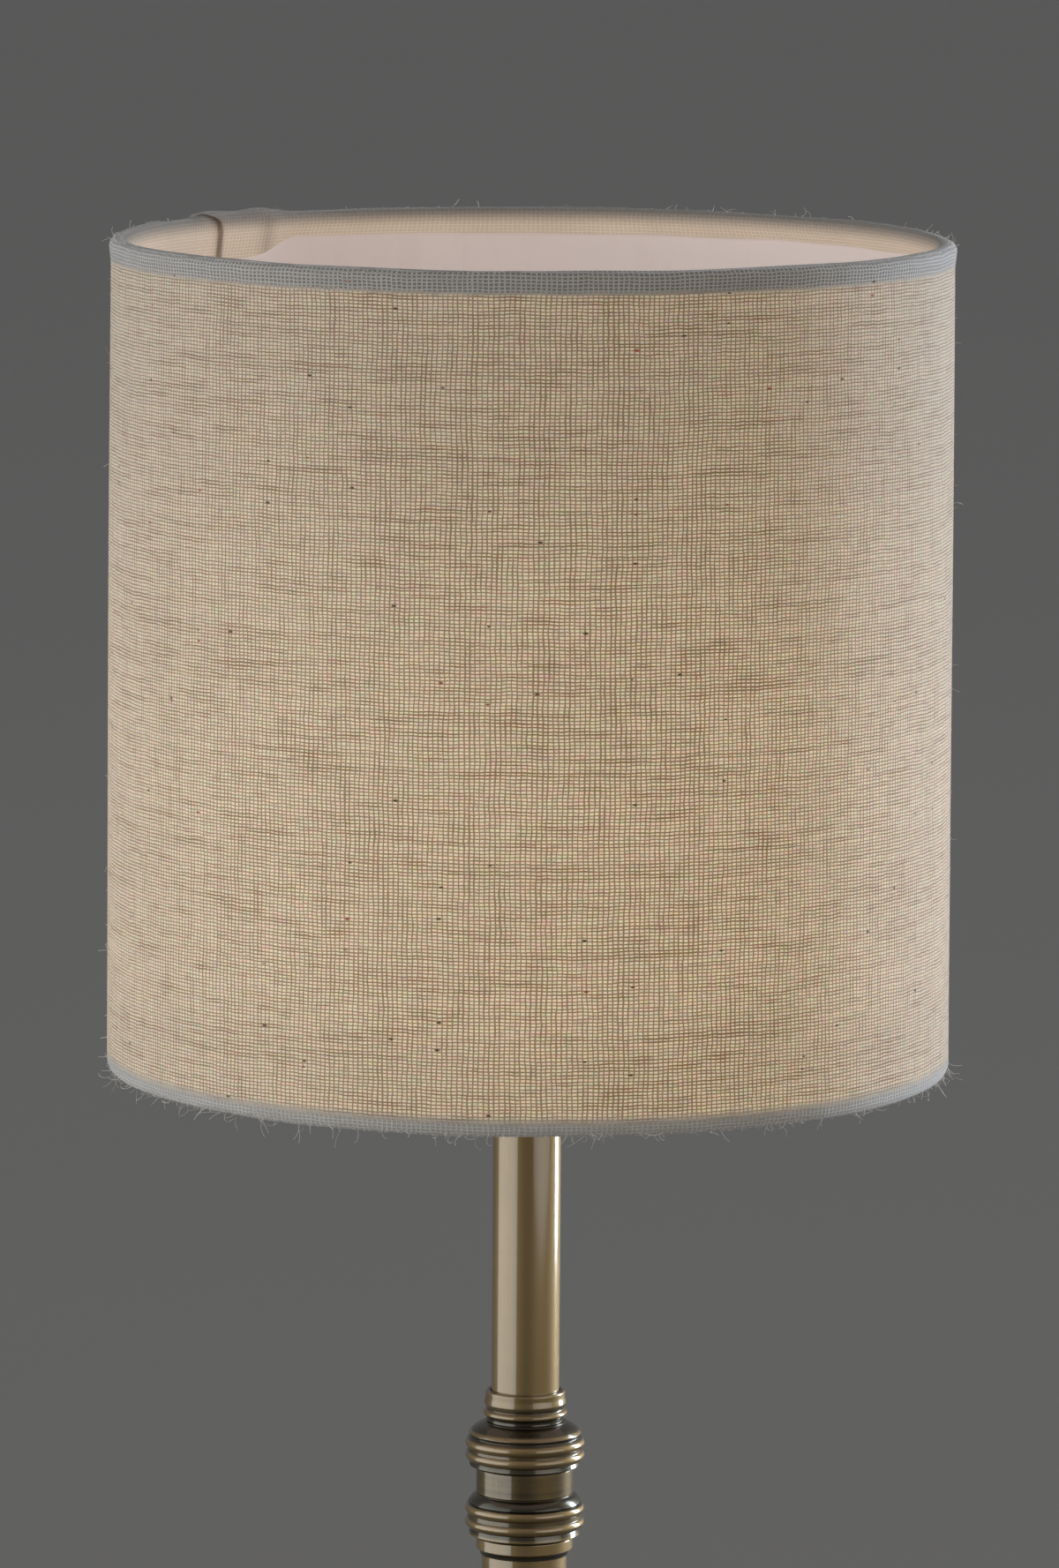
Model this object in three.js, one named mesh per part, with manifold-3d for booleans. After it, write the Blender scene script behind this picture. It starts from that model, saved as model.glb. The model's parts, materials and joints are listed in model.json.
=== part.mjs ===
// Cordless table lamp: a woven drum shade on a turned antique-brass column, a light module inside
// the shade and a round stepped base that holds two rechargeable cells. Millimetres, +Z up, origin
// at the middle of the underside.
// The front is -Y and the charging port is at the back, +Y.
import * as THREE from "three";
import { mergeVertices } from "three/addons/utils/BufferGeometryUtils.js";
import Module from "manifold-3d";

const wasm = await Module();
wasm.setup();

// Clearances
const seatGap = 0.05; // between faces that bear on each other
const slipGap = 0.2; // round a piece that plugs into another
const runGap = 0.35; // round a piece that slides or turns
const cutOver = 1; // how far a cutter runs past what it cuts
const edgeBreak = 0.4; // taken off the sharp edge of a turned piece

// Facets of the round pieces
const wideFacets = 36;
const slimFacets = 20;
const smallFacets = 10;
const wireFacets = 5;

// Foot pad, base plate and ballast
const padThickness = 1.5;
const padInnerRadius = 14;
const padMargin = 4; // how far the pad stays inside the plate's edge
const plateThickness = 1.6;
const ballastThickness = 4;
const ballastMargin = 5; // how far the ballast stays inside the drum's inner wall

// Base shell: half-round rim, cove, drum with a bead, quarter-round shoulder, flat land and bell
const shellWall = 1.6;
const baseRadius = 64;
const rimLift = 0.9; // how far the shell's lower edge stands above the table
const rimHeight = 7;
const mouthDepth = 4; // straight part of the mouth that takes the plate
const coveRadius = 3;
const drumRadius = 57;
const beadRadius = 1.5;
const shoulderRadius = 6;
const bellRadius = 27;
const bellHeight = 13;
const neckRadius = 13;
const shellTopWall = 3;

// Screws that hold the plate to the shell's bosses
const bossRadius = 3.2;
const bossInset = 10.5; // of the circle that the bosses stand on, from the drum's face
const bossAngle = 22; // degrees from the X axis
const screwShankRadius = 1.4;
const screwHeadRadius = 2.8;
const screwHeadHeight = 1.2;
const screwLength = 10;

// Cells and their tray
const cellRadius = 9.2;
const cellLength = 65;
const cellSpace = 1; // between the two cells
const cellHeadroom = 1;
const contactThickness = 0.4;
const contactHeight = 10;
const trayFloor = 0.8;
const trayWall = 1.4;
const trayDeck = 1.6; // thickness of the deck that carries the boards' posts
const trayDeckHalfWidth = 15;
const postRadius = 2.2;

// Control board, charging port and charge light
const boardThickness = 1.2;
const boardHalfWidth = 15;
const boardPostSpacing = 22;
const portWidth = 8.94;
const portHeight = 3.16;
const portDepth = 7.3;
const portShell = 0.3;
const portTongueWidth = 6.7;
const portTongueHeight = 0.7;
const portFlat = 0.04; // height of the straight ends of the port's outline
const portZ = 15.6; // height of the port's middle
const bezelBorder = 2; // of the port's bezel, round the socket
const bezelProud = 0.5;
const lightRadius = 1.5;
const lightOffset = 12; // of the charge light from the port
const lightLength = 5;
const lightHoleLength = 20;
const boardScrewRadius = 0.9;
const boardScrewHeadRadius = 2;
const boardScrewHeadHeight = 1.2;
const boardScrewLength = 5;

// Push switch on the land
const buttonCircle = 40; // distance of the button from the lamp's axis
const buttonRadius = 5.2;
const buttonTravel = 1.2;
const buttonFlange = 0.8; // its width and thickness
const buttonRingHeight = 1.4;
const buttonRingWidth = 2.6;
const buttonNeckWall = 1;
const buttonEdge = 0.8; // rounding of the button's edge
const buttonDish = 0.3;
const plungerRadius = 1.9;
const plungerGrip = 2.4; // how deep the plunger sits in the switch
const switchSide = 8.4;
const switchHeight = 6;
const switchBoardHalf = 6.5;

// Threaded rod and its nuts
const rodRadius = 4.9;
const rodBore = 3.2;
const nutAcrossFlats = 14;
const nutHeight = 4;
const washerRadius = 9.4;
const washerThickness = 1.2;
const rodEndProud = 0.8;

// Column
const tubeWall = 1;
const upperTubeRadius = 8;
const lowerTubeRadius = 10;
const lowerTubeShown = 55;
const barrelRadius = 11.4;
const barrelHeight = 5.9;
const rollRadius = 14.1; // at the crest of a collar's two rolls
const rollSize = 1.25; // radius of a roll's own section
const rollSweep = 60; // degrees of that section, above and below its middle
const stepRadius = 13.05; // of the plain band under the rolls
const filletHeight = 0.5; // from the barrel out to the band
const shoulderEdge = 13.25; // radius where the shoulder starts above the rolls
const upperStep = 1.25;
const upperPitch = 2.9; // between the upper collar's rolls
const upperShoulder = 3.9;
const upperSmallEnd = 9.65;
const lowerStep = 1.7;
const lowerPitch = 3.3; // between the lower collars' rolls
const lowerShoulder = 2.5;
const lowerSmallEnd = 11.5;
const ferruleHeight = 4.2;
const ferruleCove = 1.5; // height of the curve from the ferrule's band to the tube
const ferruleLip = 0.3; // of metal round the tube at the ferrule's mouth
const ferruleWeb = 1.2; // of metal between a ferrule's socket and its neighbour
const socketHeight = 7.3;
const socketRadius = 9.45;
const socketBead = 9.85;
const socketFoot = 9;
const socketWeb = 2.3;

// Light module
const headBelowFlange = 18;
const headSocketDepth = 5;
const headWeb = 2.5;
const headRim = 9; // outer radius of the cup's lower end
const flangeRadius = 24;
const flangeEdge = 2;
const headBodyRadius = 19;
const headBodyHeight = 10;
const nutPocketRadius = 10;
const sinkThickness = 3;
const ledBoardThickness = 1.2;
const ledCount = 8;
const ledCircle = 10;
const ledSide = 2.8;
const ledHeight = 0.7;
const diffuserRadius = 17.5;
const diffuserWall = 1.5;
const diffuserSeat = 2.5; // height of the diffuser's seat above the flange
const diffuserHeight = 72;

// Shade and its carrier
const shadeGap = 77; // from the column's socket up to the shade
const shadeHeight = 194;
const shadeRadius = 98.3; // at its lower edge
const shadeTaper = 0.9; // how much narrower its upper edge is
const fabricThickness = 0.7;
const linerThickness = 0.5;
const hemDepth = 5;
const slitDepth = 12; // of the arms' slits in the lower hem, from the shade's face
const wireRadius = 1.1;
const flangeRise = 28; // of the head's flange above the shade's lower edge
const seatWasherThickness = 1;
const carrierBoreRadius = 20;
const carrierRingRadius = 27;
const carrierRingThickness = 1.6;
const armCount = 3;
const armRadius = 1.5;
// Course of an arm: the share of its reach, and the share of its drop made by then
const armCourse = [
  [0, 0],
  [0.08, 0],
  [0.2, 0.1],
  [0.5, 0.5],
  [0.8, 0.9],
  [0.93, 1],
  [1, 1],
];
const clampWasherThickness = 0.8;
const clampHeight = 6;
const clampRadius = 24;
const clampNotches = 12;
const clampNotchDepth = 0.8;

// Leads
const cableRadius = 1.2;
const leadRadius = 0.8;

// Levels, from the table up
const plateBottom = padThickness + seatGap;
const plateTop = plateBottom + plateThickness;
const ballastBottom = plateTop + seatGap;
const ballastTop = ballastBottom + ballastThickness;
const trayBottom = ballastTop + seatGap;
const cellZ = trayBottom + trayFloor + slipGap + cellRadius;
const landUnder = cellZ + cellRadius + cellHeadroom;
const landZ = landUnder + shellWall;
const shellTop = landZ + bellHeight;
const footCollarZ = shellTop + seatGap;
const footFerruleZ = footCollarZ + collarHeight(lowerStep, lowerPitch, lowerShoulder) + seatGap;
const ferruleZ = footFerruleZ + ferruleHeight + lowerTubeShown;
const lowerCollarZ = ferruleZ + ferruleHeight + seatGap;
const barrelZ = lowerCollarZ + collarHeight(lowerStep, lowerPitch, lowerShoulder) + seatGap;
const upperCollarZ = barrelZ + barrelHeight + seatGap;
const socketZ = upperCollarZ + collarHeight(upperStep, upperPitch, upperShoulder) + seatGap;
const socketTop = socketZ + socketHeight;
const shadeBottom = socketTop + shadeGap;
const shadeTop = shadeBottom + shadeHeight;
const flangeZ = shadeBottom + flangeRise;
const headBottom = flangeZ - headBelowFlange;
const headFloor = headBottom + headSocketDepth + headWeb;

// Other sizes that follow from the ones above
const rodHole = rodRadius + slipGap;
const mouthRadius = baseRadius - rimHeight / 2;
const bossCircle = drumRadius - bossInset;
const drumInnerRadius = drumRadius - shellWall;
const landRadius = drumRadius - shoulderRadius;
const cellX = cellRadius + cellSpace / 2;
const pocketHalfLength = cellLength / 2 + contactThickness + 2 * seatGap;
const trayHalfLength = pocketHalfLength + trayWall;
const trayHalfWidth = cellX + cellRadius + slipGap + trayWall;
const boardTop = portZ - portHeight / 2 - seatGap;
const boardBottom = boardTop - boardThickness;
const deckTop = trayBottom + trayDeck;
const ballastRadius = drumInnerRadius - ballastMargin;

// Height of a collar: fillet, plain band, two rolls and shoulder
function collarHeight(step, pitch, shoulder) {
  return filletHeight + step + rollSize + pitch + rollSize + shoulder;
}

// A solid from a closed geometry, and a geometry from a solid.
function solidOf(geometry) {
  const bare = geometry.index ? geometry.toNonIndexed() : geometry.clone();
  bare.deleteAttribute("normal");
  bare.deleteAttribute("uv");
  const merged = mergeVertices(bare, 1e-4);
  return new wasm.Manifold(
    new wasm.Mesh({
      numProp: 3,
      vertProperties: new Float32Array(merged.attributes.position.array),
      triVerts: new Uint32Array(merged.index.array),
    }),
  );
}

function geometryOf(solid) {
  const mesh = solid.getMesh();
  const positions = new Float32Array(mesh.numVert * 3);
  for (let i = 0; i < mesh.numVert; i++) {
    for (let k = 0; k < 3; k++) {
      positions[i * 3 + k] = mesh.vertProperties[i * mesh.numProp + k];
    }
  }
  const geometry = new THREE.BufferGeometry();
  geometry.setAttribute("position", new THREE.BufferAttribute(positions, 3));
  geometry.setIndex(new THREE.BufferAttribute(mesh.triVerts, 1));
  geometry.computeVertexNormals();
  return geometry;
}

function cut(geometry, ...cutters) {
  return geometryOf(
    cutters.reduce((solid, c) => solid.subtract(solidOf(c)), solidOf(geometry)),
  );
}

function join(geometry, ...others) {
  return geometryOf(
    others.reduce((solid, o) => solid.add(solidOf(o)), solidOf(geometry)),
  );
}

// Points [radius, z] along an arc, from one angle to the other, in degrees from the outward direction.
function arc(radius, z, size, from, to, steps) {
  return Array.from({ length: steps + 1 }, (_, i) => {
    const angle = THREE.MathUtils.degToRad(from + ((to - from) * i) / steps);
    return [radius + size * Math.cos(angle), z + size * Math.sin(angle)];
  });
}

// A trumpet-shaped curve that leaves the wide end level and meets the narrow end upright.
function trumpet(wide, low, narrow, high, steps) {
  return Array.from({ length: steps + 1 }, (_, i) => {
    const t = (Math.PI / 2) * (i / steps);
    return [
      wide - (wide - narrow) * Math.sin(t),
      high - (high - low) * Math.cos(t),
    ];
  });
}

// A piece turned about the Z axis from a closed outline of [radius, z] points.
function turned(outline, facets) {
  const points = outline.map(([r, z]) => new THREE.Vector2(r, z));
  if (THREE.ShapeUtils.area(points) < 0) points.reverse();
  points.push(points[0].clone());
  return new THREE.LatheGeometry(points, facets).rotateX(Math.PI / 2);
}

function ring(inner, outer, low, high, facets) {
  return turned(
    [
      [inner, low],
      [outer, low],
      [outer, high],
      [inner, high],
    ],
    facets,
  );
}

function rod(radius, low, high, facets) {
  return new THREE.CylinderGeometry(radius, radius, high - low, facets)
    .rotateX(Math.PI / 2)
    .translate(0, 0, (low + high) / 2);
}

function block(x0, x1, y0, y1, z0, z1) {
  return new THREE.BoxGeometry(x1 - x0, y1 - y0, z1 - z0).translate(
    (x0 + x1) / 2,
    (y0 + y1) / 2,
    (z0 + z1) / 2,
  );
}

// A flat bar of round-ended section that runs along Y, its section centred on X = 0 and the given height.
function roundedBar(width, height, corner, y0, y1, z) {
  const x = width / 2 - corner;
  const y = height / 2 - corner;
  const shape = new THREE.Shape();
  shape.absarc(x, y, corner, 0, Math.PI / 2, false);
  shape.absarc(-x, y, corner, Math.PI / 2, Math.PI, false);
  shape.absarc(-x, -y, corner, Math.PI, 1.5 * Math.PI, false);
  shape.absarc(x, -y, corner, 1.5 * Math.PI, 2 * Math.PI, false);
  const options = { depth: y1 - y0, bevelEnabled: false, curveSegments: 4 };
  return new THREE.ExtrudeGeometry(shape, options)
    .rotateX(Math.PI / 2)
    .translate(0, y1, z);
}

// A round wire along a smooth path of points.
function wire(points, radius, steps) {
  const section = new THREE.Shape(
    Array.from({ length: wireFacets }, (_, i) => {
      const angle = (2 * Math.PI * i) / wireFacets;
      return new THREE.Vector2(radius * Math.cos(angle), radius * Math.sin(angle));
    }),
  );
  const path = new THREE.CatmullRomCurve3(points.map((p) => new THREE.Vector3(...p)));
  return new THREE.ExtrudeGeometry(section, { steps, extrudePath: path });
}

function hexNut(low) {
  const shape = new THREE.Shape(
    Array.from({ length: 6 }, (_, i) => {
      const angle = (Math.PI / 3) * i;
      const reach = nutAcrossFlats / Math.sqrt(3);
      return new THREE.Vector2(reach * Math.cos(angle), reach * Math.sin(angle));
    }),
  );
  const options = { depth: nutHeight, bevelEnabled: false };
  const body = new THREE.ExtrudeGeometry(shape, options).translate(0, 0, low);
  const hole = rod(rodRadius + seatGap, low - cutOver, low + nutHeight + cutOver, slimFacets);
  return cut(body, hole);
}

function finish(color, roughness, metalness) {
  return new THREE.MeshStandardMaterial({ color, roughness, metalness });
}

const finishes = {
  antiqueBrass: finish(0x8f7f5c, 0.35, 1),
  plainSteel: finish(0xb4b4b0, 0.4, 1),
  castIron: finish(0x4a4a4c, 0.8, 0.6),
  nickel: finish(0xc9c6bd, 0.3, 1),
  blackPlastic: finish(0x1b1b1c, 0.55, 0),
  greyPlastic: finish(0x55585a, 0.6, 0),
  felt: finish(0x2a2825, 0.95, 0),
  cellSleeve: finish(0x3f6f8f, 0.45, 0),
  boardGreen: finish(0x1f5a3a, 0.5, 0),
  boardWhite: finish(0xe8e8e2, 0.5, 0),
  opal: finish(0xf4eee2, 0.4, 0),
  linen: finish(0xb9a88c, 0.9, 0),
  liner: finish(0xe3d6cf, 0.7, 0),
  redLead: finish(0x9c2a22, 0.5, 0),
  whiteLead: finish(0xdedad2, 0.5, 0),
};

const lamp = new THREE.Group();

function add(name, geometry, material, parent = lamp) {
  const mesh = new THREE.Mesh(geometry, material);
  mesh.name = name;
  parent.add(mesh);
  return mesh;
}

// The four places of the bosses and their screws, as [x, y].
const bossPlaces = [bossAngle, 180 - bossAngle, 180 + bossAngle, 360 - bossAngle].map(
  (degrees) => {
    const angle = THREE.MathUtils.degToRad(degrees);
    return [bossCircle * Math.cos(angle), bossCircle * Math.sin(angle)];
  },
);

// Foot pad, plate with countersunk holes, and screws
function addFoot() {
  const plateRadius = mouthRadius - slipGap;
  const padOuterRadius = plateRadius - padMargin;
  add(
    "foot_pad",
    ring(padInnerRadius, padOuterRadius, 0, padThickness, wideFacets),
    finishes.felt,
  );
  const holes = bossPlaces.map(([x, y]) =>
    join(
      rod(screwShankRadius + slipGap, plateBottom - cutOver, plateTop + cutOver, smallFacets),
      countersunkHead(slipGap, plateBottom - seatGap),
    ).translate(x, y, 0),
  );
  add(
    "base_plate",
    cut(rod(plateRadius, plateBottom, plateTop, wideFacets), ...holes),
    finishes.plainSteel,
  );
  bossPlaces.forEach(([x, y], i) => {
    const head = countersunkHead(0, plateBottom);
    const shank = rod(screwShankRadius, plateBottom, plateBottom + screwLength, smallFacets);
    const screw = add(`plate_screw_${i + 1}`, join(head, shank), finishes.plainSteel);
    screw.position.set(x, y, 0);
  });
}

// A cone that narrows upwards from a screw head to its shank.
function countersunkHead(margin, low) {
  return turned(
    [
      [0, low],
      [screwHeadRadius + margin, low],
      [screwShankRadius + margin, low + screwHeadHeight],
      [0, low + screwHeadHeight],
    ],
    smallFacets,
  );
}

// Shell, with its four bosses inside and holes for the rod, the port, the charge light and the button
function addShell() {
  const rimMiddle = rimLift + rimHeight / 2;
  const rimTop = rimLift + rimHeight;
  const shoulderZ = landZ - shoulderRadius;
  const outside = [
    ...arc(mouthRadius, rimMiddle, rimHeight / 2, -90, 90, 6),
    ...arc(drumRadius + coveRadius, rimTop + coveRadius, coveRadius, 270, 180, 3),
    ...arc(drumRadius, shoulderZ - beadRadius, beadRadius, -90, 90, 4),
    ...arc(landRadius, shoulderZ, shoulderRadius, 0, 90, 4),
    ...trumpet(bellRadius, landZ, neckRadius, shellTop, 6),
  ];
  const inside = [
    [rodHole, shellTop],
    [rodHole, shellTop - shellTopWall],
    ...trumpet(
      bellRadius - shellWall,
      landUnder,
      neckRadius - shellWall,
      shellTop - shellTopWall,
      4,
    ).reverse(),
    ...arc(landRadius, shoulderZ, shoulderRadius - shellWall, 90, 0, 3),
    [drumInnerRadius, rimTop + coveRadius / 2],
    [mouthRadius, rimLift + mouthDepth],
  ];
  const body = turned([...outside, ...inside], wideFacets);
  const bosses = bossPlaces.map(([x, y]) =>
    rod(bossRadius, plateTop + seatGap, landUnder + shellWall / 2, smallFacets).translate(x, y, 0),
  );
  const pilots = bossPlaces.map(([x, y]) => {
    const high = plateBottom + screwLength + cutOver;
    return rod(screwShankRadius + seatGap, plateTop - cutOver, high, smallFacets).translate(x, y, 0);
  });
  const bezel = bezelSize(slipGap);
  const portHole = roundedBar(
    bezel.width,
    bezel.height,
    bezel.corner,
    drumInnerRadius - 3 * cutOver,
    baseRadius,
    portZ,
  );
  const buttonHole = rod(
    buttonRadius + runGap + buttonNeckWall + slipGap,
    landUnder - cutOver,
    landZ + cutOver,
    slimFacets,
  ).translate(0, -buttonCircle, 0);
  const shell = cut(join(body, ...bosses), ...pilots, portHole, lightHole(), buttonHole);
  add("base_shell", shell, finishes.antiqueBrass);
}

// Width, height and corner of the port's bezel, or of the hole that takes it with that clearance.
function bezelSize(clearance) {
  const height = portHeight + 2 * (bezelBorder + clearance);
  return {
    width: portWidth + 2 * (bezelBorder + clearance),
    height,
    corner: height / 3,
  };
}

function lightHole() {
  const radius = lightRadius + slipGap;
  return new THREE.CylinderGeometry(radius, radius, lightHoleLength, smallFacets).translate(
    lightOffset,
    drumInnerRadius,
    portZ,
  );
}

// Ballast disc with clearance round the bosses
function addBallast() {
  const gaps = bossPlaces.map(([x, y]) =>
    rod(
      bossRadius + runGap,
      ballastBottom - cutOver,
      ballastTop + cutOver,
      smallFacets,
    ).translate(x, y, 0),
  );
  const disc = rod(ballastRadius, ballastBottom, ballastTop, wideFacets);
  add("ballast_weight", cut(disc, ...gaps), finishes.castIron);
}

// Cells side by side along Y, the contact strips at their ends, and the tray with its deck and posts
function addCells() {
  const alongY = (radius, halfLength) =>
    new THREE.CylinderGeometry(radius, radius, 2 * halfLength, slimFacets);
  ["left", "right"].forEach((side, i) => {
    const cell = add(
      `battery_cell_${side}`,
      alongY(cellRadius, cellLength / 2),
      finishes.cellSleeve,
    );
    cell.position.set(i ? cellX : -cellX, 0, cellZ);
  });
  const contactHalfWidth = cellX + cellRadius / 2;
  ["front", "rear"].forEach((end, i) => {
    const strip = block(
      -contactHalfWidth,
      contactHalfWidth,
      0,
      contactThickness,
      cellZ - contactHeight / 2,
      cellZ + contactHeight / 2,
    );
    const contact = add(`contact_strip_${end}`, strip, finishes.nickel);
    const near = cellLength / 2 + seatGap;
    contact.position.y = i ? near : -near - contactThickness;
  });
  const troughs = [-cellX, cellX].map((x) =>
    alongY(cellRadius + slipGap, pocketHalfLength).translate(x, 0, cellZ),
  );
  const cradle = block(
    -trayHalfWidth,
    trayHalfWidth,
    -trayHalfLength,
    trayHalfLength,
    trayBottom,
    cellZ,
  );
  const middle = block(
    -cellX,
    cellX,
    -pocketHalfLength,
    pocketHalfLength,
    cellZ - contactHeight / 2 - slipGap,
    cellZ + cutOver,
  );
  const deck = block(
    -trayDeckHalfWidth,
    trayDeckHalfWidth,
    -buttonCircle - switchBoardHalf,
    boardMiddle() + postRadius + 1,
    trayBottom,
    deckTop,
  );
  const posts = [
    ...boardPostPlaces().map(([x, y]) => {
      const post = rod(postRadius, trayBottom, boardBottom - seatGap, smallFacets);
      const low = boardTop - boardScrewLength;
      const pilot = rod(boardScrewRadius + seatGap, low, boardTop + cutOver, smallFacets);
      return cut(post, pilot).translate(x, y, 0);
    }),
    ...[-1, 1].map((side) =>
      rod(postRadius, trayBottom, switchBoardTop() - boardThickness - seatGap, smallFacets).translate(
        side * (switchBoardHalf - postRadius),
        -buttonCircle,
        0,
      ),
    ),
  ];
  const tray = join(cut(join(cradle, deck), ...troughs, middle), ...posts);
  add("battery_tray", tray, finishes.greyPlastic);
}

// Control board at the back, with the charging socket, its bezel, the charge light and two screws
function boardMiddle() {
  return (trayHalfLength + drumInnerRadius) / 2 - portShell;
}

function boardPostPlaces() {
  return [-1, 1].map((side) => [(side * boardPostSpacing) / 2, boardMiddle()]);
}

function addControlBoard() {
  const mouthY = drumRadius - portShell;
  const boardBack = mouthY - portDepth / 2;
  const board = block(
    -boardHalfWidth,
    boardHalfWidth,
    trayHalfLength + slipGap,
    Math.min(boardBack, Math.sqrt(drumInnerRadius ** 2 - boardHalfWidth ** 2) - slipGap),
    boardBottom,
    boardTop,
  );
  const holes = boardPostPlaces().map(([x, y]) =>
    rod(
      boardScrewRadius + slipGap,
      boardBottom - cutOver,
      boardTop + cutOver,
      smallFacets,
    ).translate(x, y, 0),
  );
  add("control_board", cut(board, ...holes), finishes.boardGreen);
  boardPostPlaces().forEach(([x, y], i) => {
    const low = boardTop + seatGap;
    const head = rod(boardScrewHeadRadius, low, low + boardScrewHeadHeight, smallFacets);
    const shank = rod(boardScrewRadius, boardTop - boardScrewLength + slipGap, low, smallFacets);
    add(`board_screw_${i + 1}`, join(head, shank), finishes.plainSteel).position.set(x, y, 0);
  });

  const corner = (portHeight - portFlat) / 2;
  const casing = roundedBar(portWidth, portHeight, corner, mouthY - portDepth, mouthY, portZ);
  const hollow = roundedBar(
    portWidth - 2 * portShell,
    portHeight - 2 * portShell,
    corner - portShell,
    mouthY - portDepth + 2 * portShell,
    mouthY + cutOver,
    portZ,
  );
  const tongue = block(
    -portTongueWidth / 2,
    portTongueWidth / 2,
    mouthY - portDepth + portShell,
    mouthY - portShell,
    portZ - portTongueHeight / 2,
    portZ + portTongueHeight / 2,
  );
  add("usb_socket", join(cut(casing, hollow), tongue), finishes.nickel);

  const bezel = bezelSize(0);
  const frame = roundedBar(
    bezel.width,
    bezel.height,
    bezel.corner,
    drumInnerRadius - 2 * portShell,
    drumRadius + bezelProud,
    portZ,
  );
  const slot = roundedBar(
    portWidth + 2 * slipGap,
    portHeight + 2 * slipGap,
    corner,
    drumInnerRadius - cutOver,
    drumRadius + bezelProud + cutOver,
    portZ,
  );
  add("port_bezel", cut(frame, slot), finishes.blackPlastic);

  const pipe = new THREE.CylinderGeometry(lightRadius, lightRadius, lightLength, smallFacets);
  const wallFace = Math.sqrt(drumRadius ** 2 - (lightOffset + lightRadius) ** 2);
  const light = add("charge_light", pipe, finishes.opal);
  light.position.set(lightOffset, wallFace + bezelProud - lightLength / 2 + bezelProud, portZ);
}

// Push button with its ring and plunger, over the switch on its own small board
function flangeTopZ() {
  return landUnder - buttonNeckWall - seatGap;
}

function switchTop() {
  return flangeTopZ() - buttonFlange - buttonTravel - runGap;
}

function switchBoardTop() {
  return switchTop() - switchHeight - seatGap;
}

function addButton() {
  const place = new THREE.Group();
  place.position.y = -buttonCircle;
  lamp.add(place);
  const holeRadius = buttonRadius + runGap;
  const neckRadiusOut = holeRadius + buttonNeckWall;
  const ringTop = landZ + seatGap + buttonRingHeight;
  const trim = turned(
    [
      [holeRadius, landUnder - buttonNeckWall],
      [neckRadiusOut, landUnder - buttonNeckWall],
      [neckRadiusOut, landZ + seatGap],
      [holeRadius + buttonRingWidth, landZ + seatGap],
      [holeRadius + buttonRingWidth, landZ + seatGap + buttonRingHeight / 2],
      [holeRadius + buttonRingWidth / 2, ringTop],
      [holeRadius, ringTop],
    ],
    slimFacets,
  );
  add("button_ring", trim, finishes.antiqueBrass, place);

  const capTop = ringTop + buttonTravel;
  const cap = turned(
    [
      [0, flangeTopZ() - buttonFlange],
      [buttonRadius + buttonFlange, flangeTopZ() - buttonFlange],
      [buttonRadius + buttonFlange, flangeTopZ()],
      [buttonRadius, flangeTopZ()],
      ...arc(buttonRadius - buttonEdge, capTop - buttonEdge, buttonEdge, 0, 90, 3),
      [0, capTop - buttonDish],
    ],
    slimFacets,
  );
  add("power_button", cap, finishes.antiqueBrass, place);

  const plungerTop = flangeTopZ() - buttonFlange - seatGap;
  const plungerBottom = switchTop() - plungerGrip;
  const plunger = rod(plungerRadius, plungerBottom, plungerTop, smallFacets);
  add("switch_plunger", plunger, finishes.greyPlastic, place);

  const half = switchSide / 2;
  const body = block(-half, half, -half, half, switchTop() - switchHeight, switchTop());
  const well = rod(
    plungerRadius + slipGap,
    plungerBottom - buttonTravel - runGap,
    switchTop() + cutOver,
    smallFacets,
  );
  add("push_switch", cut(body, well), finishes.blackPlastic, place);

  const side = switchBoardHalf;
  const top = switchBoardTop();
  const rear = Math.min(side, buttonCircle - trayHalfLength - slipGap);
  const board = block(-side, side, -side, rear, top - boardThickness, top);
  add("switch_board", board, finishes.boardGreen, place);
}

// Threaded rod that clamps the column together, with a nut at each end and a washer at the bottom
function addRod() {
  const washerTop = shellTop - shellTopWall - seatGap;
  const lowerNutTop = washerTop - washerThickness - seatGap;
  const rodBottom = lowerNutTop - nutHeight - rodEndProud;
  const upperNutBottom = headFloor + seatGap;
  const rodTop = upperNutBottom + nutHeight + rodEndProud;
  add("threaded_rod", ring(rodBore, rodRadius, rodBottom, rodTop, slimFacets), finishes.plainSteel);
  add(
    "rod_washer",
    ring(rodHole, washerRadius, washerTop - washerThickness, washerTop, slimFacets),
    finishes.plainSteel,
  );
  add("rod_nut_lower", hexNut(lowerNutTop - nutHeight), finishes.plainSteel);
  add("rod_nut_upper", hexNut(upperNutBottom), finishes.plainSteel);
  return { rodBottom, rodTop };
}

// A turned collar, from the barrel up to its small end: fillet, band, two rolls and a rounded shoulder
function collar(step, pitch, shoulder, smallEnd) {
  const top = collarHeight(step, pitch, shoulder);
  const bandTop = filletHeight + step;
  const roll = (z) => arc(rollRadius - rollSize, z, rollSize, -rollSweep, rollSweep, 3);
  const rounded = [
    [1, 0.25],
    [0.88, 0.5],
    [0.37, 0.85],
  ].map(([out, up]) => [
    smallEnd + (shoulderEdge - smallEnd) * out,
    top - shoulder * (1 - up),
  ]);
  return turned(
    [
      [rodHole, 0],
      [barrelRadius, 0],
      [stepRadius, filletHeight],
      [stepRadius, bandTop],
      ...roll(bandTop + rollSize),
      ...roll(bandTop + rollSize + pitch),
      ...rounded,
      [smallEnd, top - filletHeight / 2],
      [smallEnd, top],
      [rodHole, top],
    ],
    slimFacets,
  );
}

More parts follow.
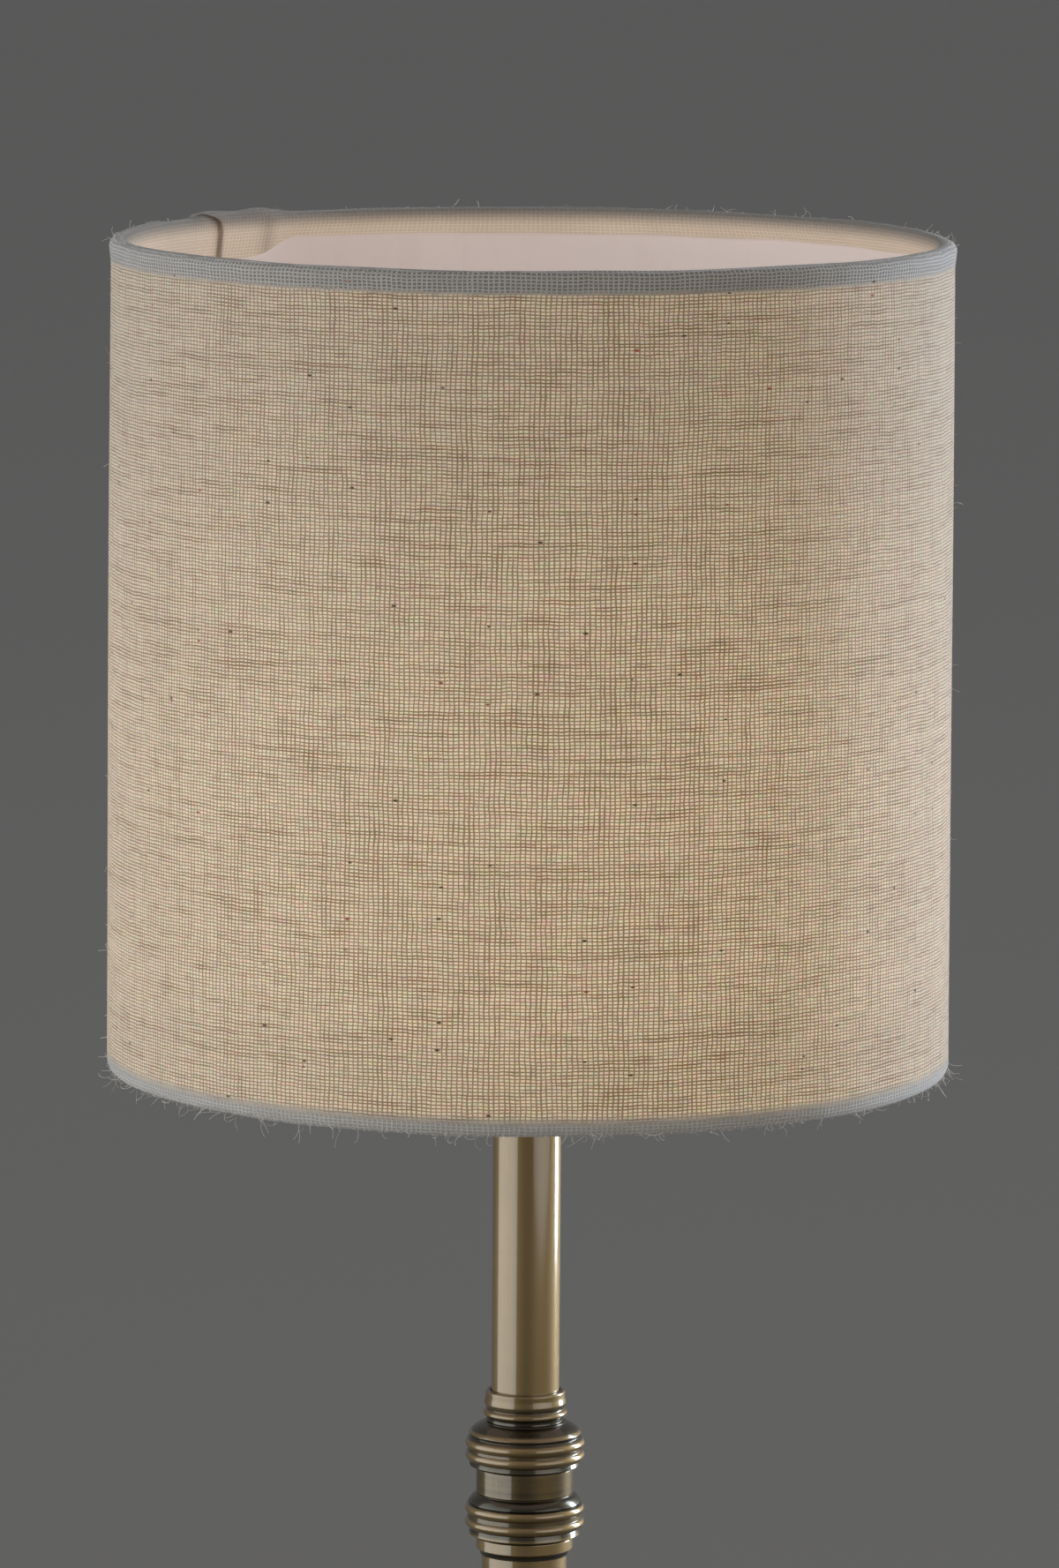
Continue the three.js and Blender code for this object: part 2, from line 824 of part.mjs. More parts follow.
// A ferrule that caps the end of the lower tube. Its socket faces up.
function ferrule() {
  const bore = lowerTubeRadius + slipGap;
  const bandTop = ferruleHeight - ferruleCove;
  return turned(
    [
      [rodHole, 0],
      [barrelRadius, 0],
      [barrelRadius, bandTop],
      [bore + 2 * ferruleLip, bandTop + ferruleCove / 3],
      [bore + ferruleLip, ferruleHeight],
      [bore, ferruleHeight],
      [bore, ferruleWeb],
      [rodHole, ferruleWeb],
    ],
    slimFacets,
  );
}

// The column, from the base shell up to the light module's socket
function addColumn() {
  const brass = finishes.antiqueBrass;
  const wideCollar = () => collar(lowerStep, lowerPitch, lowerShoulder, lowerSmallEnd);
  add("foot_collar", wideCollar(), brass).position.z = footCollarZ;
  add("foot_ferrule", ferrule(), brass).position.z = footFerruleZ;
  const tubeBottom = footFerruleZ + ferruleWeb + seatGap;
  const tubeTop = ferruleZ + ferruleHeight - ferruleWeb - seatGap;
  add(
    "lower_tube",
    ring(lowerTubeRadius - tubeWall, lowerTubeRadius, tubeBottom, tubeTop, slimFacets),
    brass,
  );
  const cap = add("upper_ferrule", ferrule(), brass);
  cap.rotation.x = Math.PI;
  cap.position.z = ferruleZ + ferruleHeight;
  add("lower_collar", wideCollar(), brass).position.z = lowerCollarZ;
  add("barrel", ring(rodHole, barrelRadius, barrelZ, barrelZ + barrelHeight, slimFacets), brass);
  const narrowCollar = collar(upperStep, upperPitch, upperShoulder, upperSmallEnd);
  add("upper_collar", narrowCollar, brass).position.z = upperCollarZ;

  const socketBore = upperTubeRadius + slipGap;
  const socketOutside = [
    [socketFoot, 0],
    [socketFoot, 0.1],
    [socketBead, 0.2],
    [socketBead, 0.34],
    [socketFoot, 0.43],
    [socketRadius, 0.5],
    [socketRadius, 0.94],
    [socketRadius - edgeBreak, 1],
  ].map(([r, up]) => [r, socketZ + socketHeight * up]);
  const socket = turned(
    [
      [rodHole, socketZ],
      ...socketOutside,
      [socketBore, socketTop],
      [socketBore, socketZ + socketWeb],
      [rodHole, socketZ + socketWeb],
    ],
    slimFacets,
  );
  add("tube_socket", socket, brass);
  const low = socketZ + socketWeb + seatGap;
  const high = headBottom + headSocketDepth - seatGap;
  add(
    "upper_tube",
    ring(upperTubeRadius - tubeWall, upperTubeRadius, low, high, slimFacets),
    brass,
  );
}

// Light module: cup with the shade's flange, heat sink, board with its diodes, and opal diffuser
function addLightModule() {
  const seat = flangeZ + diffuserSeat;
  const sinkBottom = flangeZ - sinkThickness;
  const boardRadius = diffuserRadius - diffuserWall - slipGap;
  const bowl = Array.from({ length: 7 }, (_, i) => {
    const t = (Math.PI / 2) * (i / 6);
    const low = headBottom + headSocketDepth;
    return [
      headRim + (flangeRadius - headRim) * Math.sin(t),
      low + (flangeZ - flangeEdge - low) * (1 - Math.cos(t)),
    ];
  });
  const cup = turned(
    [
      [upperTubeRadius + slipGap, headBottom],
      [headRim - edgeBreak, headBottom],
      [headRim, headBottom + edgeBreak],
      ...bowl,
      [flangeRadius, flangeZ],
      [headBodyRadius, flangeZ],
      [headBodyRadius, flangeZ + headBodyHeight],
      [diffuserRadius + slipGap, flangeZ + headBodyHeight],
      [diffuserRadius + slipGap, seat],
      [boardRadius + slipGap, seat],
      [boardRadius + slipGap, sinkBottom],
      [nutPocketRadius, sinkBottom],
      [nutPocketRadius, headFloor],
      [rodHole, headFloor],
      [rodHole, headBottom + headSocketDepth],
      [upperTubeRadius + slipGap, headBottom + headSocketDepth],
    ],
    slimFacets,
  );
  add("head_cup", cup, finishes.antiqueBrass);

  const sinkLow = sinkBottom + seatGap;
  const sinkHigh = sinkLow + sinkThickness;
  add("heat_sink", ring(rodBore, boardRadius, sinkLow, sinkHigh, slimFacets), finishes.plainSteel);

  const ledLow = sinkHigh + seatGap;
  const ledHigh = ledLow + ledBoardThickness;
  const chips = Array.from({ length: ledCount }, (_, i) => {
    const half = ledSide / 2;
    const low = ledLow + ledBoardThickness / 2;
    return block(-half, half, ledCircle - half, ledCircle + half, low, ledHigh + ledHeight).rotateZ(
      (2 * Math.PI * i) / ledCount,
    );
  });
  const board = rod(boardRadius - slipGap, ledLow, ledHigh, slimFacets);
  add("led_board", join(board, ...chips), finishes.boardWhite);

  const domeZ = seat + seatGap + diffuserHeight - diffuserRadius / 2;
  const dome = (size) =>
    arc(0, 0, 1, 0, 90, 5).map(([across, up]) => [across * size, domeZ + (up * size) / 2]);
  const inner = diffuserRadius - diffuserWall;
  const diffuser = turned(
    [
      [inner, seat + seatGap],
      [diffuserRadius, seat + seatGap],
      ...dome(diffuserRadius),
      ...dome(inner).reverse(),
    ],
    slimFacets,
  );
  add("diffuser", diffuser, finishes.opal);
  return { cableTop: ledLow - slipGap };
}

// Radius of the shade's outer face at a height
function shadeRadiusAt(z) {
  const share = (z - shadeBottom) / shadeHeight;
  return shadeRadius - shadeTaper * share;
}

// Where a hem's wire runs, and how the fabric is rolled round it
const rollInner = wireRadius + slipGap;
const rollOuter = rollInner + fabricThickness;
function hemWire(top) {
  const z = top ? shadeTop - rollOuter : shadeBottom + rollOuter;
  return { z, radius: shadeRadiusAt(z) - rollOuter };
}

// The fabric's two faces round one hem, from the wall inwards: over the wire and down to the tip
// on the liner.
function hem(top) {
  const { z, radius } = hemWire(top);
  const linerFace = rollInner - slipGap - linerThickness - slipGap;
  const tipDrop = hemDepth - rollOuter;
  const distance = Math.hypot(linerFace, tipDrop);
  const turn =
    Math.atan2(tipDrop, linerFace) + Math.acos(Math.min(1, rollInner / distance));
  const sweep = 360 - THREE.MathUtils.radToDeg(turn);
  const up = top ? 1 : -1;
  const direction = [Math.cos(turn), -Math.sin(turn)];
  const tip = [radius + linerFace, -tipDrop];
  const place = ([r, h]) => [r, z + up * h];
  const around = (size, steps) => arc(radius, 0, size, 0, sweep, steps);
  return {
    outer: [
      ...around(rollOuter, 4),
      [tip[0] + fabricThickness * direction[0], tip[1] + fabricThickness * direction[1]],
    ].map(place),
    inner: [...around(rollInner, 4), tip].map(place),
  };
}

// Shade: rolled fabric, liner and two hem wires
function addShade() {
  const top = hem(true);
  const bottom = hem(false);
  const outline = [
    ...top.outer,
    ...top.inner.reverse(),
    ...bottom.inner,
    ...bottom.outer.reverse(),
  ];
  const slits = armAngles().map((angle) => {
    const reach = block(
      shadeRadius - slitDepth,
      hemWire(false).radius,
      -armRadius - runGap,
      armRadius + runGap,
      hemWire(false).z - armRadius - runGap,
      shadeBottom + hemDepth + cutOver,
    );
    return reach.rotateZ(angle);
  });
  add("shade_fabric", cut(turned(outline, wideFacets), ...slits), finishes.linen);

  const outerAt = (z) => shadeRadiusAt(z) - fabricThickness - slipGap;
  const low = hemWire(false).z + wireRadius + slipGap;
  const high = hemWire(true).z - wireRadius - slipGap;
  const liner = turned(
    [
      [outerAt(low) - linerThickness, low],
      [outerAt(low), low],
      [outerAt(high), high],
      [outerAt(high) - linerThickness, high],
    ],
    wideFacets,
  );
  add("shade_liner", liner, finishes.liner);

  ["bottom", "top"].forEach((end, i) => {
    const { z, radius } = hemWire(Boolean(i));
    const hoop = new THREE.TorusGeometry(radius, wireRadius, wireFacets, wideFacets);
    add(`${end}_wire`, hoop, finishes.whiteLead).position.z = z;
  });
}

function armAngles() {
  return Array.from({ length: armCount }, (_, i) => Math.PI / 2 + (2 * Math.PI * i) / armCount);
}

// Carrier: ring on the flange and arms down to the lower hem wire, with the washer that it turns on
// and the clamp ring and its captive washer above
function addCarrier() {
  const washerLow = flangeZ + seatGap;
  const ringLow = washerLow + seatWasherThickness + seatGap;
  const ringHigh = ringLow + carrierRingThickness;
  add(
    "seat_washer",
    ring(headBodyRadius + runGap, flangeRadius, washerLow, washerLow + seatWasherThickness, slimFacets),
    finishes.blackPlastic,
  );
  add(
    "carrier_ring",
    ring(carrierBoreRadius, carrierRingRadius, ringLow, ringHigh, wideFacets),
    finishes.whiteLead,
  );
  const hoop = hemWire(false);
  const start = carrierRingRadius + seatGap;
  const end = hoop.radius * Math.cos(Math.PI / wideFacets) - wireRadius - seatGap;
  const armZ = (ringLow + ringHigh) / 2;
  const span = end - start;
  const path = armCourse.map(([along, down]) => [
    start + span * along,
    0,
    armZ - (armZ - hoop.z) * down,
  ]);
  armAngles().forEach((angle, i) => {
    const arm = add(`carrier_arm_${i + 1}`, wire(path, armRadius, 14), finishes.whiteLead);
    arm.rotation.z = angle;
  });

  const outline = new THREE.Shape(
    Array.from({ length: clampNotches * 6 }, (_, i) => {
      const angle = (2 * Math.PI * i) / (clampNotches * 6);
      const dip = i % 6 < 2 ? clampNotchDepth : 0;
      const radius = clampRadius - dip;
      return new THREE.Vector2(radius * Math.cos(angle), radius * Math.sin(angle));
    }),
  );
  const options = { depth: clampHeight, bevelEnabled: false };
  const washerZ = ringHigh + seatGap;
  const washerInner = headBodyRadius + runGap;
  const washerTop = washerZ + clampWasherThickness;
  add(
    "clamp_washer",
    ring(washerInner, clampRadius - 1, washerZ, washerTop, slimFacets),
    finishes.greyPlastic,
  );
  const low = washerTop + seatGap;
  const disc = new THREE.ExtrudeGeometry(outline, options).translate(0, 0, low);
  const bore = rod(headBodyRadius + runGap, low - cutOver, low + clampHeight + cutOver, wideFacets);
  add("clamp_ring", cut(disc, bore), finishes.blackPlastic);
}

// Leads inside the lamp: light module, cells and switch to the control board
function addLeads(rodBottom, cableTop) {
  const boardY = boardMiddle();
  const valley = cellZ + cellRadius * 0.75;
  const lift = boardTop + cableRadius;
  add(
    "module_cable",
    wire(
      [
        [0, boardY - 2, boardTop + seatGap],
        [0, boardY - 2, lift + 3],
        [0, trayHalfLength + 1, valley - 1],
        [0, trayHalfLength - 8, valley],
        [0, 12, valley],
        [0, 3, (valley + rodBottom) / 2],
        [0, 0, rodBottom + 1],
        [0, 0, rodBottom + 20],
        [0, 0, (rodBottom + cableTop) / 2],
        [0, 0, cableTop - 20],
        [0, 0, cableTop],
      ],
      cableRadius,
      48,
    ),
    finishes.whiteLead,
  );
  // From the rear contact straight to the board
  const contactFace = cellLength / 2 + seatGap + contactThickness + seatGap;
  const contactLeadZ = cellZ + contactHeight / 2 - 2 * leadRadius;
  const rearBendY = contactFace + 3;
  add(
    "battery_lead_rear",
    wire(
      [
        [-6, contactFace, contactLeadZ],
        [-6, rearBendY, contactLeadZ],
        [-6, rearBendY + 2.5, contactLeadZ - 1.5],
        [-6, rearBendY + 3.5, boardTop + 2],
        [-6, rearBendY + 3.5, boardTop + seatGap],
      ],
      leadRadius,
      12,
    ),
    finishes.redLead,
  );
  // Along the tray's left side for the front contact, and along its right side for the switch
  const side = trayHalfWidth + 2 * leadRadius + 1;
  const runZ = ballastTop + leadRadius + 4 * slipGap;
  const endY = trayHalfLength + 3.5;
  const sideRun = (hand) => [
    [hand * side, -trayHalfLength + 10, runZ],
    [hand * side, 0, runZ],
    [hand * side, trayHalfLength - 12, runZ],
    [hand * side, trayHalfLength - 2, runZ + 4],
    [hand * (side - 3), endY + 0.5, boardTop + 3],
    [hand * (boardHalfWidth - 1), endY, boardTop + 3.2],
    [hand * (boardHalfWidth - 3), endY, boardTop + 2],
    [hand * (boardHalfWidth - 3), endY, boardTop + seatGap],
  ];
  const contactX = cellX + cellRadius / 4;
  add(
    "battery_lead_front",
    wire(
      [
        [-contactX, -contactFace, contactLeadZ],
        [-contactX, -contactFace - 3, contactLeadZ],
        [-contactX - 4, -contactFace - 5, contactLeadZ - 2],
        [-side, -contactFace - 3, runZ + 6],
        ...sideRun(-1),
      ],
      leadRadius,
      30,
    ),
    finishes.blackPlastic,
  );
  const boardUnder = switchBoardTop() - boardThickness - seatGap;
  add(
    "switch_lead",
    wire(
      [
        [0, -buttonCircle - 3, boardUnder],
        [0, -buttonCircle - 3, boardUnder - 2],
        [3, -buttonCircle - 3, boardUnder - 4],
        [trayDeckHalfWidth - 4, -buttonCircle - 2, boardUnder - 5],
        [trayDeckHalfWidth + 5, -buttonCircle, boardUnder - 6],
        [side + 0.5, -trayHalfLength - 1, runZ + 1],
        ...sideRun(1),
      ],
      leadRadius,
      34,
    ),
    finishes.redLead,
  );
}

addFoot();
addShell();
addBallast();
addCells();
addControlBoard();
addButton();
const { rodBottom } = addRod();
addColumn();
const { cableTop } = addLightModule();
addShade();
addCarrier();
addLeads(rodBottom, cableTop);

export default lamp;
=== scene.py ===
"""Cordless table lamp: a woven drum shade on a turned antique-brass column, round its frame."""

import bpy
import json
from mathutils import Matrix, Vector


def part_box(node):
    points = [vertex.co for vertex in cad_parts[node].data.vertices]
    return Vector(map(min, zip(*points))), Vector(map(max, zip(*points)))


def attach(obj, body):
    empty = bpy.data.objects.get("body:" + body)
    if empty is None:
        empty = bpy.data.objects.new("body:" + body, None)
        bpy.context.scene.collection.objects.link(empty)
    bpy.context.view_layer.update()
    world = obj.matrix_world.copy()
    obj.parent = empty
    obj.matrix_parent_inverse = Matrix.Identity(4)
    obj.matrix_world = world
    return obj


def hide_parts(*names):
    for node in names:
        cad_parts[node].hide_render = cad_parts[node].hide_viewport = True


bl_info = {
    "name": "Cordless Table Lamp",
    "version": (1, 0, 0),
    "blender": (4, 5, 0),
    "location": "3D View > Sidebar > Lamp",
    "description": "Dresses the lamp's frame with woven shade, turned brass, fittings and stage",
    "category": "Add Mesh",
}

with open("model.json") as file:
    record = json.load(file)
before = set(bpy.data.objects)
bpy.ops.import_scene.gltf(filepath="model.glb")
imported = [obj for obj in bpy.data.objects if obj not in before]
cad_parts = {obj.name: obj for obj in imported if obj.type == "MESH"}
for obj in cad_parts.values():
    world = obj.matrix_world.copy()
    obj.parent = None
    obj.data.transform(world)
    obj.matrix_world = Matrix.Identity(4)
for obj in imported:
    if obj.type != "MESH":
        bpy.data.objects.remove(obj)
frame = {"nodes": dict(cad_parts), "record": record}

import json
import math
import random
from functools import cache, cached_property

import bmesh
import bpy
import numpy as np
from bpy.props import FloatProperty, FloatVectorProperty, IntProperty, PointerProperty
from mathutils import Matrix, Vector, noise

MM = 0.001
TURN = 2 * math.pi
FAR = 1.0  # metres, past every end of the lamp
FINE = 288  # segments round the fabric
WIDE = 192  # segments round the base, the shade's liner and the carrier
SLIM = 96  # segments round the column and the button
SMALL = 48  # segments round holes and lenses
SHARP = math.radians(38)  # edges that turn by more stay sharp
TINY = 1e-7  # metres, too short to be a side or a radius

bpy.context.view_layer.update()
SLOT_OF = {part["node"]: part["material_slot"] for part in frame["record"]["subparts"]}


def span(node):
    """Lowest and highest level of a node and its outer radius about the lamp's axis."""
    low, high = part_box(node)
    return low.z, high.z, high.x


def middle(node):
    """The middle of a node's box."""
    return [(a + b) / 2 for a, b in zip(*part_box(node))]


def facing(node):
    """Back and front, level, width and height of a node that faces along Y."""
    low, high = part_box(node)
    return low.y, high.y, middle(node)[2], high.x - low.x, high.z - low.z


SHADE_LOW, SHADE_HIGH, SHADE_RADIUS = span("shade_fabric")
BASE_LOW, BASE_HIGH, BASE_RADIUS = span("base_shell")
BARREL_RADIUS = span("barrel")[2]
TUBE_SEAT = span("upper_tube")[2] + 0.2 * MM  # radius of the holes that take the upper tube
ROD_HOLE = 5.1 * MM
THREAD_HOLE = 19.35 * MM  # in the rings that slip over the cup's collar
BELL_HEIGHT = 13 * MM  # of the base's neck over its flat top


# Settings that a user would change


def length(name, description, millimetres):
    return FloatProperty(
        name=name, description=description, default=millimetres * MM, precision=6, unit="LENGTH"
    )


def angle(name, description, degrees):
    return FloatProperty(
        name=name, description=description, default=math.radians(degrees), subtype="ANGLE"
    )


def colour(name, description, *default):
    return FloatVectorProperty(
        name=name, description=description, default=default, min=0, max=1, subtype="COLOR"
    )


def count(name, description, default, least):
    return IntProperty(name=name, description=description, default=default, min=least)


class ShadeSettings(bpy.types.PropertyGroup):
    thickness: length("Fabric Thickness", "Thickness of one layer of the fabric", 0.7)
    taper: length("Taper", "How much narrower the shade is at its upper edge, in radius", 0.9)
    hem: length("Hem Depth", "How far each edge is turned in and glued down", 5)
    roll: length("Rim Roll", "Outer radius of the fabric where it rolls over the wire hoop", 2)
    swell: length("Hem Swell", "How far the double layer of the upper hem stands out", 0.45)
    unevenness: length("Unevenness", "Size of the shallow waves of the hand-made drum", 0.35)
    warp_count: count("Warp Threads", "Number of upright threads round the drum", 530, 60)
    weft_pitch: length("Weft Pitch", "Distance between level threads", 0.79)
    linen: colour("Linen", "Colour of the threads", 0.165, 0.130, 0.094)
    doubled: colour("Doubled Linen", "Colour of the double layer in a hem", 0.43, 0.41, 0.38)
    thread_glow: colour("Thread Glow", "Light that comes through the threads", 0.165, 0.096, 0.036)
    gap_glow: colour("Gap Glow", "Light that comes through between the threads", 0.56, 0.43, 0.27)
    liner: colour("Liner", "Colour of the plastic sheet inside the fabric", 0.62, 0.55, 0.53)
    seam_angle: angle("Seam Angle", "Where the fabric's ends overlap, from the right", 141.8)
    seam_curl: angle("Seam Curl", "How far the seam's edge curls aside at the rim", 5.5)
    allowance: length("Seam Allowance", "How much deeper the hem reaches beside the seam", 4.5)
    seam_width: length("Seam Width", "How far the fabric's ends overlap", 14)
    seam_rise: length("Seam Rise", "How far the rim stands up over the overlap", 1.3)
    fibres: count("Loose Fibres", "Number of stray fibres on the fabric and its rims", 1700, 0)


class BrassSettings(bpy.types.PropertyGroup):
    metal: colour("Metal", "Colour of the worn metal", 0.215, 0.143, 0.050)
    crest: colour("Crest", "Colour of the rubbed crests", 0.31, 0.222, 0.112)
    patina: colour("Patina", "Colour of the dark patina in the grooves", 0.034, 0.029, 0.016)
    groove_reach: length("Groove Reach", "How far beside a crest the patina gathers", 1.7)
    groove_depth: length("Groove Depth", "Depth under the crests at which the patina is full", 0.9)


class LightSettings(bpy.types.PropertyGroup):
    opal: colour("Opal", "Colour of the diffuser", 0.84, 0.80, 0.73)
    lit: colour("Lit", "Light of the diffuser", 0.95, 0.78, 0.55)


class StageSettings(bpy.types.PropertyGroup):
    distance: length("Camera Distance", "From the camera to the lamp's axis", 2170)
    aim: length("Aim Height", "Height of the point that the camera looks at", 294.7)
    look_down: angle("Look Down", "Angle of the camera below the horizon", 7.8)
    roll: angle("Roll", "Turn of the camera about its own axis", 0.4)
    lens: FloatProperty(
        name="Lens", description="Focal length on a 36 mm sensor", default=214, unit="CAMERA"
    )
    floor: colour("Floor", "Colour of the floor", 0.50, 0.50, 0.495)
    room: colour("Room", "Soft light from all round", 0.19, 0.19, 0.19)
    backdrop: colour("Backdrop", "What the camera sees past the floor", 0.1005, 0.1005, 0.0992)


GROUPS = {
    "lamp_shade": ShadeSettings,
    "lamp_brass": BrassSettings,
    "lamp_light": LightSettings,
    "lamp_stage": StageSettings,
}


def lamp(group):
    return getattr(bpy.context.scene, f"lamp_{group}")


# Shader maths


class Value:
    """A shader socket that can be reckoned with."""

    def __init__(self, paint, socket):
        self.paint = paint
        self.socket = socket

    def maths(self, operation, *values):
        return self.paint.node("ShaderNodeMath", {"operation": operation}, list(values))

    def __add__(self, other):
        return self.maths("ADD", self, other)

    __radd__ = __add__

    def __sub__(self, other):
        return self.maths("SUBTRACT", self, other)

    def __rsub__(self, other):
        return self.maths("SUBTRACT", other, self)

    def __mul__(self, other):
        return self.maths("MULTIPLY", self, other)

    __rmul__ = __mul__

    def __truediv__(self, other):
        return self.maths("DIVIDE", self, other)

    def __rtruediv__(self, other):
        return self.maths("DIVIDE", other, self)

    def floor(self):
        return self.maths("FLOOR", self)

    def from_middle(self):
        """How far a value is from the middle of its whole step: 0 there and 1 at either end."""
        return self.maths("ABSOLUTE", self.maths("FRACT", self) * 2 - 1)

    def swing(self, reach):
        """Turns 0 to 1 into half the reach to either side of zero."""
        return (self - 0.5) * reach

    def step(self, start, end):
        """Rises smoothly from 0 at start to 1 at end. Either may be a value."""
        return self.paint.node(
            "ShaderNodeMapRange",
            {"interpolation_type": "SMOOTHSTEP"},
            {"Value": self, "From Min": start, "From Max": end},
        )


class Paint:
    """One material, or the world, made by expressions on its nodes' sockets."""

    def __init__(self, name, kind="materials"):
        self.owner = getattr(bpy.data, kind).new(name)
        self.owner.use_nodes = True
        self.tree = self.owner.node_tree
        self.tree.nodes.clear()

    def node(self, kind, settings=None, inputs=None, output=0):
        """Adds a node, sets it up, feeds its sockets and returns one of its outputs."""
        added = self.tree.nodes.new(kind)
        for name, setting in (settings or {}).items():
            setattr(added, name, setting)
        pairs = inputs.items() if isinstance(inputs, dict) else enumerate(inputs or [])
        for key, value in pairs:
            if isinstance(value, Value):
                self.tree.links.new(value.socket, added.inputs[key])
            else:
                added.inputs[key].default_value = value
        return Value(self, added.outputs[output]) if added.outputs else None

    @cached_property
    def place(self):
        """A point's place on its piece."""
        return self.node("ShaderNodeTexCoord", output="Object")

    def parts(self, vector=None):
        """The three coordinates of a vector."""
        split = self.node("ShaderNodeSeparateXYZ", None, [vector or self.place])
        outputs = split.socket.node.outputs
        return [Value(self, outputs[i]) for i in range(3)]

    def on_drum(self):
        """A point's share of a turn round the axis, and its height."""
        x, y, z = self.parts()
        return self.node("ShaderNodeMath", {"operation": "ARCTAN2"}, [y, x]) / TURN, z

    def vector(self, x, y=0.0, z=0.0):
        return self.node("ShaderNodeCombineXYZ", None, [x, y, z])

    def stretched(self, x, y, z):
        """The place scaled along each axis, so that a pattern is drawn out."""
        return self.node("ShaderNodeVectorMath", {"operation": "MULTIPLY"}, [self.place, (x, y, z)])

    def noise(self, scale, detail, vector=None, output="Fac"):
        inputs = {"Vector": vector or self.place, "Scale": scale, "Detail": detail}
        return self.node("ShaderNodeTexNoise", None, inputs, output)

    def bands(self, course, scale, detail):
        """Noise along one course alone."""
        inputs = {"W": course, "Scale": scale, "Detail": detail}
        return self.node("ShaderNodeTexNoise", {"noise_dimensions": "1D"}, inputs)

    def chance(self, value, seed=0.0):
        """A random number from 0 to 1 for each whole number."""
        return self.node("ShaderNodeTexWhiteNoise", {"noise_dimensions": "1D"}, {"W": value + seed})

    def stored(self, name):
        """A value that the mesh keeps at its vertices."""
        return self.node("ShaderNodeAttribute", {"attribute_name": name}, output="Fac")

    def mix(self, share, start, end, blend="MIX"):
        colours = [(*c, 1) if isinstance(c, (tuple, list)) else c for c in (start, end)]
        return self.node(
            "ShaderNodeMix",
            {"data_type": "RGBA", "blend_type": blend, "clamp_result": True},
            {0: share, 6: colours[0], 7: colours[1]},
            2,
        )

    def dimmed(self, light, level):
        """A light times a level that changes from place to place."""
        return self.mix(1.0, light, self.vector(level, level, level), "MULTIPLY")

    def bump(self, height, strength, distance):
        return self.node(
            "ShaderNodeBump", None, {"Height": height, "Strength": strength, "Distance": distance}
        )

    def principled(self, **inputs):
        """Closes the material. Names of sockets are written with underscores."""
        if "emission_color" in inputs:
            inputs["emission_strength"] = 1.0
        named = {}
        for key, value in inputs.items():
            if not isinstance(value, (Value, float)):
                value = (*value, 1)
            named[key.replace("_", " ").title().replace("Ior", "IOR")] = value
        shader = self.node("ShaderNodeBsdfPrincipled", None, named)
        self.node("ShaderNodeOutputMaterial", None, {"Surface": shader})
        return self.owner


# Finishes


